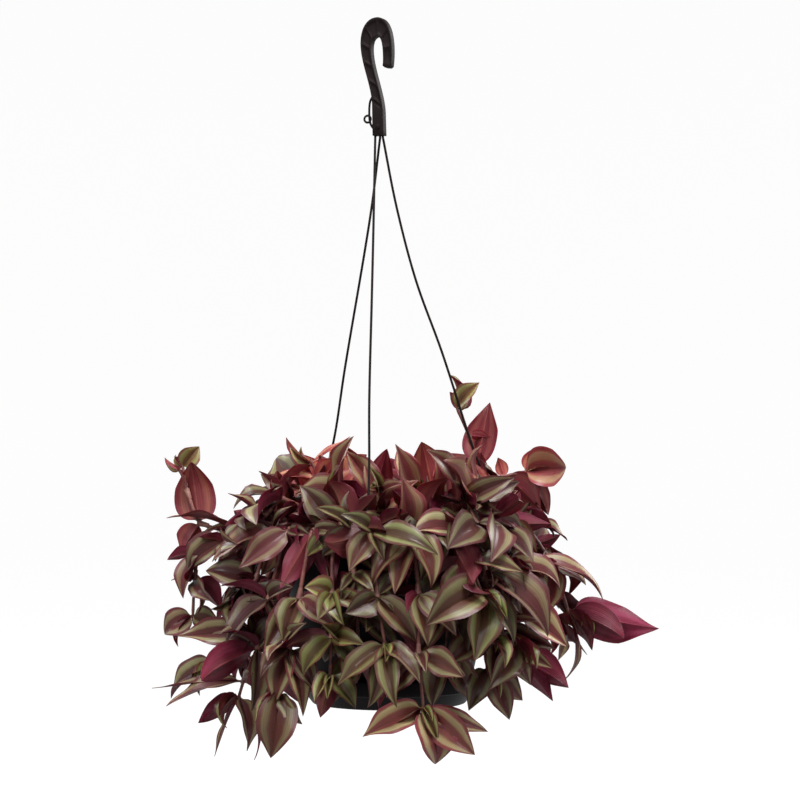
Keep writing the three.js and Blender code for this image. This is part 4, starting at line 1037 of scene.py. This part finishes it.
def leaf_material(name, plain, coral, fresh, gloss, streaks, vein_bump, sheen, coat):
    """A leaf face: plain, coral and fresh are its colour bands from midrib to edge; the coral bands are
    painted light coming through the leaf from behind.
    """
    material, tree, shader = finish_material(name, {
        "Coat Weight": coat, "Coat Roughness": 0.22, "Specular IOR Level": 0.25,
        "Subsurface Weight": 0.12, "Subsurface Radius": (1.0, 0.35, 0.25), "Subsurface Scale": 0.0012,
        "Sheen Weight": sheen, "Sheen Roughness": 0.35, "Sheen Tint": (1.0, 0.86, 0.88, 1)})
    grain = use_group(tree, leaf_grain)
    mood = add_node(tree, "ShaderNodeAttribute", attribute_name="leaf_colour_and_painted_light")
    moods = add_node(tree, "ShaderNodeSeparateColor", {"Color": mood.outputs["Color"]})
    across = grain.outputs["Wavy Across"]
    colour = blend_colours(tree, moods.outputs["Green"], colour_bands(tree, across, plain),
                           colour_bands(tree, across, fresh))
    colour = blend_colours(tree, moods.outputs["Red"], colour, colour_bands(tree, across, coral))
    ground = blend_colours(tree, moods.outputs["Green"], (*plain[2][1], 1), (*fresh[1][1], 1))
    ground = blend_colours(tree, moods.outputs["Red"], ground, (*coral[1][1], 1))
    colour = blend_colours(tree, mood.outputs["Alpha"], ground, colour)
    ends = map_range(tree, grain.outputs["Along"], 0.86, 1.0, 0.0, 0.75)
    colour = blend_colours(tree, ends, colour, (*plain[-1][1], 1))
    # The mood's blue lightness scales the colour's value: partly a random tone, partly painted shade and
    # light
    value = calculate(tree, "MULTIPLY_ADD", grain.outputs["Streak"], streaks, moods.outputs["Blue"])
    value = calculate(tree, "MULTIPLY_ADD", grain.outputs["Veins"], 0.05, value)
    value = calculate(tree, "SUBTRACT", value, 0.5 * streaks - 0.25)
    tone = add_node(tree, "ShaderNodeHueSaturation", {"Value": value, "Color": colour}).outputs["Color"]
    tree.links.new(tone, shader.inputs["Base Color"])
    rough = map_range(tree, grain.outputs["Mottle"], 0, 1, gloss - 0.07, gloss + 0.13)
    tree.links.new(rough, shader.inputs["Roughness"])
    ridges = calculate(tree, "MULTIPLY_ADD", grain.outputs["Veins"], 0.14, grain.outputs["Streak"])
    add_relief(tree, shader, ridges, vein_bump, 0.0005)
    return material


leaf_top = leaf_material(
    "leaf_top",
    [(0.0, (0.060, 0.018, 0.018)), (0.04, (0.12, 0.034, 0.032)), (0.36, (0.105, 0.024, 0.027)),
     (0.42, (0.20, 0.13, 0.070)), (0.48, (0.30, 0.26, 0.13)), (0.72, (0.40, 0.36, 0.20)),
     (0.79, (0.24, 0.15, 0.085)), (0.85, (0.12, 0.026, 0.034)), (1.0, (0.13, 0.024, 0.038))],
    [(0.0, (0.24, 0.042, 0.044)), (0.32, (0.27, 0.046, 0.050)), (0.42, (0.36, 0.17, 0.090)),
     (0.72, (0.44, 0.27, 0.14)), (0.82, (0.32, 0.055, 0.060)), (1.0, (0.28, 0.036, 0.054))],
    [(0.0, (0.075, 0.048, 0.014)), (0.30, (0.085, 0.052, 0.016)), (0.38, (0.14, 0.15, 0.036)),
     (0.72, (0.25, 0.29, 0.085)), (0.82, (0.17, 0.085, 0.040)), (1.0, (0.13, 0.034, 0.030))],
    0.44, 0.6, 0.35, 0.03, 0.30)
# The underside's paler bands, at its midrib and from 0.48 to 0.68 across, are painted sheen lines
leaf_under = leaf_material(
    "leaf_under",
    [(0.0, (0.28, 0.040, 0.070)), (0.06, (0.13, 0.008, 0.026)), (0.32, (0.14, 0.008, 0.030)),
     (0.48, (0.24, 0.026, 0.066)), (0.68, (0.22, 0.022, 0.058)), (0.82, (0.15, 0.009, 0.034)),
     (1.0, (0.14, 0.008, 0.030))],
    [(0.0, (0.44, 0.13, 0.090)), (0.06, (0.26, 0.042, 0.044)), (0.34, (0.28, 0.046, 0.050)),
     (0.46, (0.40, 0.14, 0.085)), (0.68, (0.42, 0.16, 0.090)), (0.82, (0.30, 0.048, 0.054)),
     (1.0, (0.27, 0.036, 0.050))],
    [(0.0, (0.24, 0.10, 0.060)), (0.4, (0.14, 0.026, 0.030)), (1.0, (0.13, 0.014, 0.028))],
    0.42, 0.9, 0.45, 0.0, 0.06)


def stem_material(name, dark, light, gloss):
    material, tree, shader = finish_material(name)
    place = add_node(tree, "ShaderNodeTexCoord").outputs["Object"]
    streaks = noise(tree, place, 160.0, 4.0, 0.5, 0.8)
    tree.links.new(colour_bands(tree, streaks, [(0.32, dark), (0.68, light)]), shader.inputs["Base Color"])
    fine = noise(tree, place, 900.0, 2.0)
    tree.links.new(map_range(tree, fine, 0, 1, gloss - 0.08, gloss + 0.12), shader.inputs["Roughness"])
    add_relief(tree, shader, fine, 0.4, 0.0002)
    return material


stem_skin = stem_material("stem_skin", (0.13, 0.036, 0.034), (0.30, 0.11, 0.085), 0.40)
sheath_skin = stem_material("sheath_skin", (0.20, 0.055, 0.055), (0.42, 0.22, 0.17), 0.5)

leafy_stems = [shown_stem(order, name, plan) for order, (name, plan) in enumerate(SHOWN_STEMS.items())]
for index in range(FILLER_COUNT):
    corners = corners_of("stem_fill_%d" % (index + 1))
    for turned_on in range(0, MOST_TURNS * TURN_ON, TURN_ON):
        stem = filler_stem(index, turned_on)
        if corners.find(stem["foot"][0] + Vector((STEM_RADIUS, 0, 0)))[2] < SAME_PLACE:
            leafy_stems.append(stem)
            break


def fits(leaf):
    """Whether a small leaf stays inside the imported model's box."""
    return all(low < place < high for low, place, high in zip(cad_box[0], leaf["tip"], cad_box[1]))


def glow(leaf):
    """How much light coming through a leaf from behind is painted into its colour: more, the higher it
    stands over the rim.
    """
    height = leaf["tip"].z - RIM_Z
    return min(max((height - PAINTED_BACKLIGHT_LOW) / (PAINTED_BACKLIGHT_HIGH - PAINTED_BACKLIGHT_LOW), 0), 1)


# A leaf's mood is how coral, how green and how light it is, and how strong its stripes are; its coral
# share is partly painted backlight, and its lightness partly painted shade and light
LOOK_SEED = 900
PALE_MOOD = (0.1, 0.9, 1.1, 0.6)
for number, stem in enumerate(leafy_stems):
    corners = corners_of(stem["name"])
    chance = draws(LOOK_SEED + number)
    form = bmesh.new()
    form.loops.layers.uv.new("leaf_uv")
    form.verts.layers.float_color.new("leaf_colour_and_painted_light")
    coral, fresh, light = stem["mood"]
    for leaf in stem["leaves"]:
        trials = [swung(leaf, *swing, size) for size in SIZES for swing in SWINGS]
        kept = next((trial for trial in trials if corners.find(trial["tip"])[2] < SAME_PLACE), None)
        # Painted backlight raises a large leaf's coral share and lightness; the stem's lightness is partly
        # painted shade and light, the chance a random tone
        painted_backlight = glow(leaf)
        mood = (min(max(coral + 0.4 * painted_backlight + chance(-0.2, 0.2), 0), 1), max(fresh + chance(-0.3, 0.3), 0),
                chance(0.40, 1.0) * light * (1 + 0.15 * painted_backlight), chance(0.5, 1.0))
        if leaf["joint"] >= stem["pale_from"]:
            mood = PALE_MOOD
        if kept:
            grow_leaf(form, large_blank, kept, mood, chance)
    side = side_leaves(stem["above"][:stem["clear_from"]], stem["side_count"], chance)
    for leaf in filter(fits, side):
        # Side leaves take painted backlight into their coral share, and the stem's partly painted shade
        # and light into their lightness
        mood = (min(coral * 0.6 + 0.4 * glow(leaf), 1), max(fresh + chance(-0.2, 0.2), 0),
                chance(0.30, 0.8) * light, chance(0.4, 1.0))
        grow_leaf(form, small_blank, leaf, mood, chance)
    for leaf in filter(fits, tip_leaves(stem["above"], chance)):
        mood = (coral * 0.3, chance(0.7, 1.0), chance(0.75, 1.05), 1)
        grow_leaf(form, small_blank, leaf, mood, chance)
    grow_stem(form, with_bud([*stem["foot"], *stem["above"]]))
    make_piece(stem["name"].replace("stem_", "shoot_"), form,
               [leaf_top, leaf_under, stem_skin, sheath_skin], stem["name"], angle=60)
